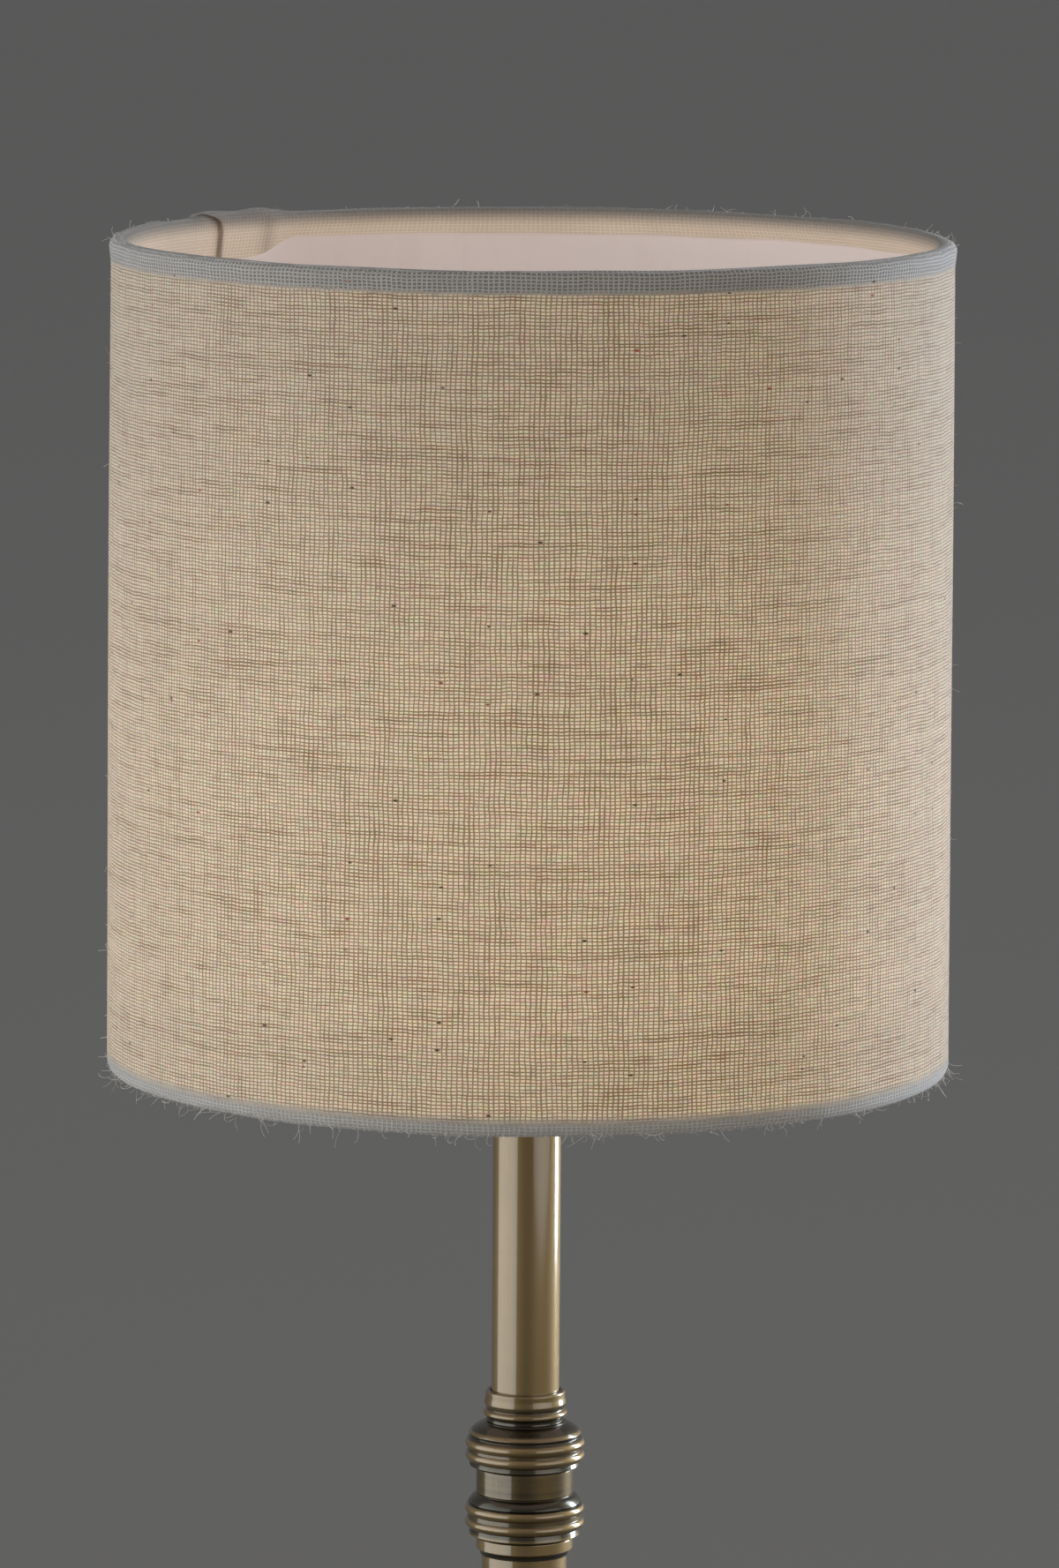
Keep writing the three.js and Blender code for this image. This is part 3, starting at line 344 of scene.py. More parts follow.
class Weave:
    """The drum's open cloth: wandering threads of uneven width, with slubs that thicken them."""

    soft_edge = 0.32  # of a thread, as a share of half its pitch

    def __init__(self, paint):
        shade = lamp("shade")
        self.paint = paint
        self.around, self.z = paint.on_drum()
        drift = paint.parts(paint.noise(55, 2, output="Color"))
        tremble = paint.parts(paint.noise(330, 1, output="Color"))
        warp = self.around * shade.warp_count + drift[0].swing(1.1) + tremble[0].swing(0.4)
        weft = self.z / shade.weft_pitch + drift[1].swing(1.3) + tremble[1].swing(0.5)
        warp_number = warp.floor()
        weft_number = weft.floor()
        along_warp = paint.noise(1, 1, paint.vector(warp_number * 3.7, self.z * 110, 0.5))
        along_weft = paint.noise(1, 2, paint.vector(weft_number * 5.3, self.around * 46, 7.5))
        warp_slub = along_warp.step(0.48, 0.74)
        weft_slub = along_weft.step(0.46, 0.72)
        warp_width = paint.chance(warp_number) * 0.12 + warp_slub * 0.16 + 0.04
        weft_width = paint.chance(weft_number, 31.7) * 0.14 + weft_slub * 0.16 + 0.12
        warp_gap = self.beside(warp, warp_width)
        weft_gap = self.beside(weft, weft_width)
        self.gap = warp_gap * weft_gap
        self.slub = (1 - warp_gap) * warp_slub * 0.35 + (1 - weft_gap) * weft_slub
        self.tone = paint.chance(warp_number * 13.1 + weft_number * 7.7) * 0.5 + 0.75
        self.fibre = paint.noise(2600, 3)
        threads = (2 - warp_gap - weft_gap) * 0.5
        self.relief = threads + self.fibre * 0.3 + drift[2] * 0.1 + tremble[2] * 0.2

        # A single layer has 1, and the two layers of a hem have 0
        uneven = paint.noise(1, 2, paint.vector(self.around * 90)).swing(0.8 * MM)
        self.from_low = self.z - SHADE_LOW + uneven
        from_top = SHADE_HIGH - self.z + uneven
        self.over_low_hem = self.from_low.step(shade.hem * 0.45, shade.hem * 1.1)
        self.single = self.over_low_hem * from_top.step(shade.hem * 0.85, shade.hem * 1.2)

    def beside(self, course, width):
        """1 in the gap beside a thread of the given width, and 0 on the thread."""
        return (1 - course.from_middle()).step(width, width + self.soft_edge)

    def light(self):
        """Light through the cloth: least in the hems, and less towards the shade's two ends."""
        slub_glow = (0.110, 0.050, 0.012)
        shade = lamp("shade")
        paint = self.paint
        height = SHADE_HIGH - SHADE_LOW
        upper_dusk = (self.from_low / height).step(0.36, 1.0) * 0.37
        lower_dusk = (1 - self.from_low.step(0.0, height * 0.2)) * 0.16
        cloud = paint.noise(34, 3) * 0.2 + 0.9
        level = (1 - (upper_dusk + lower_dusk)) * cloud * (self.single * 0.92 + 0.08)
        tint = paint.noise(1, 2, paint.stretched(300, 300, 1100), "Color")
        through = paint.mix(self.gap * self.tone, shade.thread_glow[:], shade.gap_glow[:])
        through = paint.mix(self.slub * 0.58, through, slub_glow)
        return paint.dimmed(paint.mix(0.3, through, tint, "OVERLAY"), level)

    def cloth(self):
        """Colour of the cloth in the room's light, paler where a hem doubles it, with painted light
        on the lower hem.
        """
        cell = (0.255, 0.235, 0.205)
        doubled_cell = (0.120, 0.108, 0.095)
        painted_low_hem_light = (0.62, 0.60, 0.57)
        fuzz = (0.36, 0.34, 0.31)
        slub = (0.100, 0.060, 0.030)
        shade = lamp("shade")
        paint = self.paint
        body = paint.mix(self.gap, shade.linen[:], cell)
        double = paint.mix(self.gap, shade.doubled[:], doubled_cell)
        # Painted light: the lower hem is made paler, as if lit from below
        double = paint.mix((1 - self.over_low_hem) * 0.22, double, painted_low_hem_light)
        body = paint.mix(self.single, double, body)
        body = paint.mix(self.fibre.swing(0.9) + 0.12, body, fuzz)
        return paint.mix(self.slub * (self.single * 0.3 + 0.32), body, slub)

    def flecks(self):
        """Where flecks lie, in one cell in ten of a drawn-out pattern, and their colour."""
        dark = (0.055, 0.034, 0.019)
        red = (0.32, 0.045, 0.035)
        flat = {"voronoi_dimensions": "2D"}
        paint = self.paint
        unrolled = paint.vector(self.around * (TURN * SHADE_RADIUS), self.z * 2.2)
        spread = {"Vector": unrolled, "Scale": 92.0, "Randomness": 1.0}
        fleck = paint.node("ShaderNodeTexVoronoi", flat, spread)
        kind, rare, size = paint.parts(paint.node("ShaderNodeTexVoronoi", flat, spread, "Color"))
        share = (1 - fleck.step(0.025, size * 0.05 + 0.045)) * kind.step(0.89, 0.92)
        return share, paint.mix(rare.step(0.74, 0.76), dark, red)


@cache
def linen_weave():
    """Open natural weave, lit from behind: bright cells between darker uneven threads."""
    fleck_glow = (0.030, 0.017, 0.007)
    crease_shadow = (0.09, 0.055, 0.032)
    paint = Paint("natural_linen")
    weave = Weave(paint)
    fleck, fleck_colour = weave.flecks()
    body = paint.mix(fleck, weave.cloth(), fleck_colour)
    # Painted shadow along the seam's edge and the wrinkle beside it
    body = paint.mix(paint.stored("seam_shade") * 0.7, body, crease_shadow)
    return paint.principled(
        base_color=body,
        roughness=0.92,
        specular_ior_level=0.2,
        sheen_weight=0.30,
        sheen_roughness=0.55,
        sheen_tint=(0.86, 0.92, 1.0),
        emission_color=paint.mix(fleck, weave.light(), fleck_glow),
        normal=paint.bump(weave.relief, 0.55, 0.35 * MM),
    )


@cache
def turned_hem():
    """The hem's edge inside the shade, glued over the liner, with painted shadow along the seam."""
    thread = (0.20, 0.180, 0.155)
    fuzz = (0.33, 0.305, 0.275)
    between = (0.14, 0.115, 0.09)
    crease_shadow = (0.09, 0.05, 0.025)
    glow = (0.375, 0.285, 0.205)

    shade = lamp("shade")
    paint = Paint("turned_hem")
    around, z = paint.on_drum()
    warp = (around * shade.warp_count).from_middle()
    weft = (z / shade.weft_pitch).from_middle()
    weave = (1 - warp.step(0.5, 0.95)) * (1 - weft.step(0.4, 0.9))
    fibre = paint.noise(1500, 3)
    seam_shade = paint.stored("seam_shade")
    body = paint.mix(fibre, thread, fuzz)
    body = paint.mix(weave * 0.35, body, between)
    # Painted shadow along the seam's edge and the wrinkle beside it, which also dims the hem's glow
    body = paint.mix(seam_shade * 0.65, body, crease_shadow)
    depth = (SHADE_HIGH - z).step(0.2 * MM, 4.6 * MM) * (1 - seam_shade * 0.7)
    level = depth * (paint.noise(60, 2) * 0.3 + 0.85) * (1 - weave * 0.2)
    return paint.principled(
        base_color=body,
        roughness=0.92,
        specular_ior_level=0.2,
        sheen_weight=0.20,
        sheen_roughness=0.55,
        emission_color=paint.dimmed(glow, level),
        normal=paint.bump(fibre - weave * 0.5, 0.4, 0.3 * MM),
    )


@cache
def liner_sheet():
    """Translucent sheet with the light of the lamp in it."""
    old_glue = (0.52, 0.44, 0.38)
    glow = (0.25, 0.213, 0.192)

    paint = Paint("shade_liner")
    z = paint.parts()[2]
    cloud = paint.noise(26, 2)
    glue = paint.noise(1, 3, paint.stretched(160, 160, 60))
    up = (z - SHADE_LOW) / (SHADE_HIGH - SHADE_LOW)
    level = (1 - up.step(0.45, 1.0) * 0.35) * (cloud * 0.3 + 0.85)
    return paint.principled(
        base_color=paint.mix(glue.step(0.5, 0.8) * 0.25, lamp("shade").liner[:], old_glue),
        roughness=0.62,
        specular_ior_level=0.35,
        emission_color=paint.dimmed(glow, level),
        normal=paint.bump(cloud, 0.15, 0.5 * MM),
    )


@cache
def loose_fibre():
    """Pale lint, with a little of the lamp's light in it."""
    paint = Paint("loose_fibre")
    return paint.principled(
        base_color=paint.mix(paint.noise(300, 2), (0.42, 0.385, 0.33), (0.76, 0.73, 0.67)),
        roughness=0.9,
        specular_ior_level=0.2,
        emission_color=(0.075, 0.062, 0.048),
    )


@cache
def antique_brass():
    """Turned brass with dark patina in its grooves, rubbed crests and fine turning lines."""
    brass = lamp("brass")
    paint = Paint("antique_brass")
    x, y, z = paint.parts()
    groove = paint.stored("groove")
    cloud = paint.noise(85, 4)
    stain = paint.noise(310, 3)
    course = z + z.maths("SQRT", x * x + y * y) * 0.7
    turning = paint.bands(course, 5200.0, 3.0)
    band = paint.bands(course, 900.0, 2.0)
    dark = groove.step(0.22, 0.95) * 0.85 + cloud.swing(0.3) + band.swing(0.35)
    dark = (dark + stain.step(0.62, 0.8) * 0.12).step(0.02, 0.98)
    rubbed = (1 - groove.step(0.0, 0.12)) * (cloud * 0.7 + 0.1)
    worn = paint.mix(rubbed * 0.5, brass.metal[:], brass.crest[:])
    return paint.principled(
        base_color=paint.mix(dark, worn, brass.patina[:]),
        metallic=1.0,
        roughness=0.53 - dark * 0.16 + stain.swing(0.06),
        coat_weight=1 - dark * 0.45,
        coat_roughness=0.09,
        coat_ior=1.77,
        normal=paint.bump(turning + stain * 0.08, 0.25, 0.04 * MM),
    )


def metal_finish(name, bright, shadow, roughness, scale, metallic=1.0):
    """Plain metal with a cloudy plating or casting skin."""

    def make():
        paint = Paint(name)
        cloud = paint.noise(scale, 4)
        grain = paint.noise(scale * 9, 2)
        return paint.principled(
            base_color=paint.mix(cloud.step(0.3, 0.7), shadow, bright),
            metallic=metallic,
            roughness=roughness + cloud.swing(0.2),
            normal=paint.bump(grain, 0.2, 0.06 * MM),
        )

    return cache(make)


def moulded_finish(name, tone, roughness, scale=1800, relief=0.25):
    """Moulded or drawn plastic with a fine skin and a slight change of tone."""

    def make():
        paint = Paint(name)
        cloud = paint.noise(scale / 16, 3)
        skin = paint.noise(scale, 2)
        worn = tuple(min(1.0, c * 1.18 + 0.012) for c in tone)
        return paint.principled(
            base_color=paint.mix(cloud, tone, worn),
            roughness=roughness + skin.swing(0.18),
            specular_ior_level=0.5,
            normal=paint.bump(skin, relief, 0.05 * MM),
        )

    return cache(make)


@cache
def dark_felt():
    """Short dark pile with paler hairs in it."""
    paint = Paint("dark_felt")
    hairs = paint.noise(1, 4, paint.stretched(2400, 900, 1500))
    pile = paint.noise(700, 4)
    return paint.principled(
        base_color=paint.mix(hairs, (0.012, 0.011, 0.010), (0.055, 0.050, 0.045)),
        roughness=0.97,
        specular_ior_level=0.15,
        normal=paint.bump(pile + hairs * 0.6, 0.7, 0.3 * MM),
    )


@cache
def circuit_board():
    """Solder mask with fine tracks that show as a slightly paler green."""
    track_pitch = 1.27 * MM
    paint = Paint("board_green")
    lanes = (paint.parts()[0] / track_pitch).from_middle().step(0.55, 0.62)
    blocks = paint.noise(1, 0, paint.stretched(260, 110, 1)).step(0.47, 0.50)
    track = lanes * blocks
    return paint.principled(
        base_color=paint.mix(track, (0.012, 0.085, 0.038), (0.025, 0.16, 0.07)),
        roughness=0.32,
        normal=paint.bump(track, 0.3, 0.04 * MM),
    )


@cache
def opal_diffuser():
    """Lit plastic, a little dimmer towards its top."""
    light = lamp("light")
    low, high, _ = span("diffuser")
    paint = Paint("opal_plastic")
    cloud = paint.noise(70, 2)
    share = (paint.parts()[2] - low) / (high - low)
    level = (1 - share.step(0.35, 1.1) * 0.45) * (cloud * 0.12 + 0.94)
    return paint.principled(
        base_color=light.opal[:],
        roughness=0.38 + cloud.swing(0.1),
        emission_color=paint.dimmed(light.lit[:], level),
    )


@cache
def indicator_lens():
    """Frosted lens of the charge light, unlit."""
    paint = Paint("indicator_lens")
    frost = paint.noise(900, 2)
    return paint.principled(
        base_color=paint.mix(frost, (0.62, 0.63, 0.58), (0.74, 0.74, 0.70)),
        roughness=0.3 + frost * 0.15,
        specular_ior_level=0.6,
    )


# Bright colour, shadow colour, roughness, scale of the clouds, and metallic where it is less than 1
METALS = {
    "plain_steel": ((0.50, 0.50, 0.48), (0.36, 0.36, 0.36), 0.36, 260),
    "cast_iron": ((0.075, 0.075, 0.078), (0.045, 0.045, 0.048), 0.62, 420, 0.3),
    "nickel": ((0.60, 0.58, 0.53), (0.50, 0.48, 0.44), 0.26, 500),
    "aluminium_sink": ((0.60, 0.60, 0.60), (0.50, 0.50, 0.51), 0.34, 600),
}
# Colour, roughness, and scale and relief of the skin where they aren't the usual ones
MOULDED = {
    "white_metal": ((0.74, 0.73, 0.69), 0.42, 1500, 0.3),
    "black_plastic": ((0.012, 0.012, 0.013), 0.52),
    "grey_plastic": ((0.09, 0.10, 0.105), 0.55),
    "cell_sleeve": ((0.05, 0.16, 0.27), 0.28, 500, 0.15),
    "board_white": ((0.74, 0.74, 0.71), 0.40, 900, 0.1),
    "red_lead": ((0.32, 0.02, 0.015), 0.42, 900, 0.1),
    "white_lead": ((0.68, 0.66, 0.60), 0.42, 900, 0.1),
    "black_lead": ((0.010, 0.010, 0.010), 0.42, 900, 0.1),
}
# What makes the finish of each material slot
FINISHES = {
    "antique_brass": antique_brass,
    "natural_linen": linen_weave,
    "shade_liner": liner_sheet,
    "opal_plastic": opal_diffuser,
    "felt": dark_felt,
    "board_green": circuit_board,
    **{name: metal_finish(name, *look) for name, look in METALS.items()},
    **{name: moulded_finish(name, *look) for name, look in MOULDED.items()},
}


# Outlines, as points of radius and height


def arc(radius, z, size, start, end, steps=8):
    """Part of a circle, from one angle to the other in degrees from the outward direction."""
    points = []
    for i in range(steps + 1):
        turn = math.radians(start + (end - start) * i / steps)
        points.append((radius + size * math.cos(turn), z + size * math.sin(turn)))
    return points


def quarter(start, end, steps):
    """A quarter of an ellipse, which leaves its start level and meets its end upright."""
    points = []
    for i in range(steps + 1):
        turn = TURN / 4 * i / steps
        r = start[0] - (start[0] - end[0]) * math.sin(turn)
        points.append((r, end[1] - (end[1] - start[1]) * math.cos(turn)))
    return points


def bend(start, pull, end, steps=8):
    """A curve from start to end that is drawn towards a third point."""
    points = []
    for i in range(steps + 1):
        t = i / steps
        shares = ((1 - t) ** 2, 2 * t * (1 - t), t * t)
        points.append(
            tuple(sum(s * p for s, p in zip(shares, place)) for place in zip(start, pull, end))
        )
    return points


def flow(points, steps):
    """A smooth curve through all the points, of any number of coordinates."""
    vectors = [Vector(p) for p in points]
    vectors = [2 * vectors[0] - vectors[1], *vectors, 2 * vectors[-1] - vectors[-2]]
    curve = []
    for a, b, c, d in zip(vectors, vectors[1:], vectors[2:], vectors[3:]):
        slope = c - a
        bow = 2 * a - 5 * b + 4 * c - d
        twist = 3 * b - a - 3 * c + d
        for i in range(steps):
            t = i / steps
            curve.append(0.5 * (2 * b + slope * t + bow * t * t + twist * t**3))
    return [tuple(p) for p in curve] + [tuple(points[-1])]


def soften(outline, size, steps=3, least=16):
    """Rounds each corner of a closed outline that turns by more than the least angle."""
    longest_share = 0.42  # of a side, that one of its corners may take
    rounded = []
    earlier = outline[-1:] + outline[:-1]
    later = outline[1:] + outline[:1]
    for before, corner, after in zip(earlier, outline, later):
        here = Vector(corner)
        back = Vector(before) - here
        on = Vector(after) - here
        if min(back.length, on.length) < TINY:
            continue
        if math.pi - back.angle(on) < math.radians(least):
            rounded.append(corner)
            continue
        start = here + back.normalized() * min(size, longest_share * back.length)
        end = here + on.normalized() * min(size, longest_share * on.length)
        rounded.extend(bend(start[:], corner, end[:], steps))
    return rounded


def filled(outline, gap, closed=True):
    """Adds points so that no two neighbours lie further apart than the gap."""
    points = []
    for start, end in zip(outline, outline[1:] + outline[:1] if closed else outline[1:]):
        pieces = max(1, math.ceil((Vector(end) - Vector(start)).length / gap))
        for i in range(pieces):
            points.append(tuple(Vector(start).lerp(Vector(end), i / pieces)))
    return points


def sleeve(node, bore, edge, steps=3):
    """A plain ring or tube as high and wide as a node, with softened edges."""
    low, high, radius = span(node)
    corners = [(bore, low), (radius, low), (radius, high), (bore, high)]
    return soften(corners, edge, steps)


# Meshes


def object_from(name, bm):
    """Turns a bmesh into an object of the scene."""
    bmesh.ops.recalc_face_normals(bm, faces=bm.faces)
    mesh = bpy.data.meshes.new(name)
    bm.to_mesh(mesh)
    bm.free()
    made = bpy.data.objects.new(name, mesh)
    bpy.context.scene.collection.objects.link(made)
    return made


def piece(name, bm, node, body="root", finish=None, slot=None):
    """Makes a piece that rides on a body, stands for a node, if any, and has its slot's finish."""
    slot = slot or SLOT_OF[node]
    made = object_from(name, bm)
    made.data.materials.append(finish or FINISHES[slot]())
    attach(made, body)
    if node:
        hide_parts(node)
    smooth(made)
    return made


def smooth(made):
    made.data.shade_smooth()
    made.data.set_sharp_from_angle(angle=SHARP)
    if not made.modifiers:
        made.modifiers.new("even_shading", "WEIGHTED_NORMAL").keep_sharp = True


def store(made, name, values):
    """Keeps a value at each vertex, for the finish to read."""
    made.data.attributes.new(name, "FLOAT", "POINT").data.foreach_set("value", values)


def loft(bm, loops, closed=True, capped=False):
    """Joins loops of points, each with as many points as the next, or a single one at a pole."""
    rings = [[bm.verts.new(p) for p in loop] for loop in loops]
    pairs = list(zip(rings, rings[1:]))
    if closed:
        pairs.append((rings[-1], rings[0]))
    for ring, following in pairs:
        sides = max(len(ring), len(following))
        if sides == 1:
            continue
        for i in range(sides):
            j = (i + 1) % sides
            corners = [ring[i % len(ring)], ring[j % len(ring)], following[j % len(following)]]
            if len(ring) == 1:
                corners = [ring[0], following[j], following[i]]
            elif len(following) > 1:
                corners.append(following[i])
            bm.faces.new(corners)
    if capped:
        bm.faces.new(rings[0])
        bm.faces.new(rings[-1])
    return bm


def circle(radius, z, segments, centre):
    """A level circle, or a single point where its radius is nothing."""
    if radius < TINY:
        return [(*centre, z)]
    x, y = centre
    turns = [TURN * i / segments for i in range(segments)]
    return [(x + radius * math.cos(t), y + radius * math.sin(t), z) for t in turns]


def turned(outline, segments, centre=(0.0, 0.0)):
    """A closed outline turned about an upright axis."""
    return loft(bmesh.new(), [circle(r, z, segments, centre) for r, z in outline])


def tube(bm, path, radius, sides, thin=None):
    """A round wire with closed ends. thin gives the share of the radius along the path."""
    points = [Vector(p) for p in path]
    last = len(points) - 1
    loops = []
    side = None
    for i, point in enumerate(points):
        ahead = (points[min(i + 1, last)] - points[max(i - 1, 0)]).normalized()
        if side is None:
            side = ahead.orthogonal().normalized()
        side = (side - ahead * side.dot(ahead)).normalized()
        up = ahead.cross(side)
        reach = radius * (thin(i / last) if thin else 1)
        turns = [TURN * k / sides for k in range(sides)]
        loops.append([point + reach * (math.cos(t) * side + math.sin(t) * up) for t in turns])
    return loft(bm, loops, closed=False, capped=True)


def rounded_loops(width, height, corner, z, places):
    """Rectangles with round corners that face along Y, each shrunk by an inset, at a y."""
    steps = 8
    loops = []
    for inset, y in places:
        points = []
        bow = corner - inset
        for turn, (side, up) in enumerate(((1, 1), (-1, 1), (-1, -1), (1, -1))):
            for i in range(steps + 1):
                way = TURN / 4 * (turn + i / steps)
                x = side * (width / 2 - corner) + bow * math.cos(way)
                points.append((x, y, z + up * (height / 2 - corner) + bow * math.sin(way)))
        loops.append(points)
    return loops


def carve(made, *cutters):
    """Cuts other objects out of a piece and deletes them."""
    for cutter in cutters:
        made.modifiers.new("cut", "BOOLEAN").object = cutter
    bpy.context.view_layer.update()
    cut = made.evaluated_get(bpy.context.evaluated_depsgraph_get())
    mesh = bpy.data.meshes.new_from_object(cut)
    made.modifiers.clear()
    made.data = mesh
    for cutter in cutters:
        bpy.data.objects.remove(cutter)


# Patina, stored at the vertices of a turned piece


def under_crests(line, points, least):
    """Depth of each point under the crests beside it on a line, from a least share up to 1."""
    brass = lamp("brass")
    line = np.array(line)
    points = np.array(points)
    beside = np.abs(points[:, None, 1] - line[None, :, 1]) < brass.groove_reach
    crest = np.where(beside, line[None, :, 0], 0).max(axis=1)
    return np.clip((crest - points[:, 0]) / brass.groove_depth, least, 1)


def in_hollows(line):
    """Depth of each point of a turned outline, drawn upwards, in a hollow, from 0 to 1."""
    full_share = 0.6  # of the groove's depth, which a hollow is measured across
    brass = lamp("brass")
    line = np.array(line)
    depths = []
    for i, point in enumerate(line):
        near = np.hypot(*(line - point).T) < brass.groove_reach
        start = i - np.argmin(near[i::-1]) + 1 if not near[: i + 1].all() else 0
        end = i + np.argmin(near[i:]) - 1 if not near[i:].all() else len(line) - 1
        along = line[end] - line[start]
        outward = np.array((along[1], -along[0])) / max(np.hypot(*along), TINY)
        depths.append(((line[start] + line[end]) / 2 - point) @ outward)
    return np.clip(np.array(depths) / (full_share * brass.groove_depth), 0, 1)


def mark_grooves(made, line, depth, centre=(0.0, 0.0)):
    """Stores at each vertex the depth of the nearest point of the turned outline."""
    line = np.array(line)
    places = np.empty(len(made.data.vertices) * 3)
    made.data.vertices.foreach_get("co", places)
    x, y, z = places.reshape(-1, 3).T
    radius = np.hypot(x - centre[0], y - centre[1])
    away = np.hypot(radius[:, None] - line[None, :, 0], z[:, None] - line[None, :, 1])
    store(made, "groove", np.array(depth)[away.argmin(axis=1)])


# Shade


def shade_radius(z):
    """Radius of the fabric's outer face."""
    share = (z - SHADE_LOW) / (SHADE_HIGH - SHADE_LOW)
    return SHADE_RADIUS - lamp("shade").taper * share


def window(value, start, end, edge):
    """1 between start and end, with a smooth rise and fall of the edge's width."""

    def rise(x):
        x = min(1.0, max(0.0, x))
        return x * x * (3 - 2 * x)

    return rise((value - start) / edge) * rise((end - value) / edge)


def curled_aside(column, to_top):
    """The angle that a point goes to where the seam's edge curls aside towards the rim."""
    shade = lamp("shade")
    reach = 2.8 * shade.hem
    depth = 0.33 * shade.hem
    past = (shade.seam_angle - column) * SHADE_RADIUS
    return column + shade.seam_curl * math.exp(-((past / reach) ** 2) - to_top / depth)


def waves(spot, z, near_rim):
    """Shallow waves of the drum, and puckers near its rims."""
    wave = noise.noise(spot * 1.6 + Vector((0, 0, z * 7)))
    pucker = noise.noise(spot * 14 + Vector((3, 5, z * 40))) * 0.45
    return (wave + pucker * near_rim) * lamp("shade").unevenness


def overlap(past, depth):
    """How far the seam's second layer pushes the cloth out, or in where it faces the liner."""
    edge = 0.5 * MM
    inside_share = 1.25
    shade = lamp("shade")
    width = shade.seam_width
    share = window(past, 0, width * 1.7, edge) * (1 - window(past, width, width * 3, width * 0.7))
    return share * shade.thickness * (1 if depth < shade.thickness * 0.8 else -inside_share)


def rise_over_seam(past, to_top):
    """How far the rim stands up where the hem rolls over the overlapped ends, in two swellings."""
    start, end, edge = -1 * MM, 37 * MM, 2.5 * MM
    fade_start, fade_edge = 22 * MM, 14 * MM
    first_swelling = 4.9 * MM
    between_swellings = 18.9 * MM
    dip = 0.22
    shade = lamp("shade")
    swollen = window(past, start, end, edge) * (1 - window(past, fade_start, FAR, fade_edge))
    swollen *= 1 - dip + dip * math.cos(TURN * (past - first_swelling) / between_swellings)
    return shade.seam_rise * swollen * math.exp(-to_top / (1.4 * shade.hem))


def turned_in(depth, to_rim):
    """1 at the fabric's edge inside the drum, and 0 where it is still on the wire."""
    shade = lamp("shade")
    share = window(depth, 1.4 * MM, FAR, 0.5 * MM)
    return share * window(to_rim, shade.roll, FAR, shade.hem * 0.6)


def drum_place(column, r, z):
    """Where a point of the drum's outline goes, with the waves, the hems and the seam."""
    deeper_start, deeper_end, deeper_edge = -68 * MM, 36 * MM, 14 * MM
    shade = lamp("shade")
    to_top = SHADE_HIGH - z
    to_bottom = z - SHADE_LOW
    to_rim = min(to_top, to_bottom)
    depth = shade_radius(z) - r
    turn = curled_aside(column, to_top)
    spot = Vector((math.cos(turn), math.sin(turn), 0))
    past = (shade.seam_angle + shade.seam_curl - turn) * SHADE_RADIUS

    near_rim = math.exp(-to_rim / shade.hem)
    hem = window(to_top, -FAR, shade.hem, shade.hem * 0.3)
    r += waves(spot, z, near_rim)
    r += shade.swell * hem * (1 - min(1.0, depth / shade.roll))
    r += overlap((shade.seam_angle - column) * SHADE_RADIUS, depth)

    # The rims rise and fall, and the edge that is turned in is ragged and deeper at the seam
    lift = noise.noise(spot * 4.5 + Vector((9, 1, 0))) * shade.unevenness * near_rim
    lift += rise_over_seam(past, to_top)
    ragged = (0.8 + 0.6 * noise.noise(spot * 4 + Vector((2, 8, 4)))) * MM
    if to_top < to_bottom:
        deeper = window(past, deeper_start, deeper_end, deeper_edge) * shade.allowance
        lift -= turned_in(depth, to_rim) * (ragged + deeper)
    else:
        lift += turned_in(depth, to_rim) * ragged
    return (r * spot.x, r * spot.y, z + lift)


def seam_shade_at(column, z):
    """Painted shade along the seam's edge and in the wrinkle beside it, inside the drum's upper
    hem.
    """
    line_at, line_width = 0.2 * MM, 0.75 * MM
    wrinkle_at, wrinkle_width = 16 * MM, 2.2 * MM
    shade = lamp("shade")
    to_top = SHADE_HIGH - z
    past = (shade.seam_angle - column) * SHADE_RADIUS
    line = math.exp(-(((past - line_at) / line_width) ** 2))
    wrinkle = 0.45 * math.exp(-(((past - wrinkle_at) / wrinkle_width) ** 2))
    wrinkle *= window(to_top, 1 * MM, FAR, 2 * MM)
    return (line + wrinkle) * window(to_top, 0.3 * MM, FAR, 1.2 * MM)


def drum_angles(segments):
    """Even angles round the drum, with more of them at the seam's edge."""
    seam = lamp("shade").seam_angle
    beside = (-1.0, -0.5, 0.0, 0.25, 0.5, 0.8, 1.3)  # millimetres past the edge
    extra = [seam - past * MM / SHADE_RADIUS for past in beside]
    even = [TURN * i / segments - math.pi for i in range(segments)]
    kept = [a for a in even if min(abs(a - e) for e in extra) > 0.5 * MM / SHADE_RADIUS]
    return sorted(kept + extra)


def hem_outline(top):
    """The fabric's two faces round one hem: over the wire and down inside to the liner."""
    shade = lamp("shade")
    z = SHADE_HIGH - shade.roll if top else SHADE_LOW + shade.roll
    radius = shade_radius(z) - shade.roll
    inner = shade.roll - shade.thickness
    tip_out = 0.4 * MM
    tip_drop = shade.hem - shade.roll
    distance = math.hypot(tip_out, tip_drop)
    turn = math.atan2(tip_drop, tip_out) + math.acos(min(1, inner / distance))
    sweep = 360 - math.degrees(turn)
    up = 1 if top else -1
    tip = (radius + tip_out, -tip_drop)
    face = (tip[0] + shade.thickness * math.cos(turn), tip[1] - shade.thickness * math.sin(turn))
    outer = [*arc(radius, 0, shade.roll, 0, sweep, 14), face]
    inside = [*arc(radius, 0, inner, 0, sweep, 12), tip]
    return [[(r, z + up * h) for r, h in side] for side in (outer, inside)]


def drum_mesh(outline, columns):
    loops = [[drum_place(column, r, z) for column in columns] for r, z in outline]
    return loft(bmesh.new(), loops)


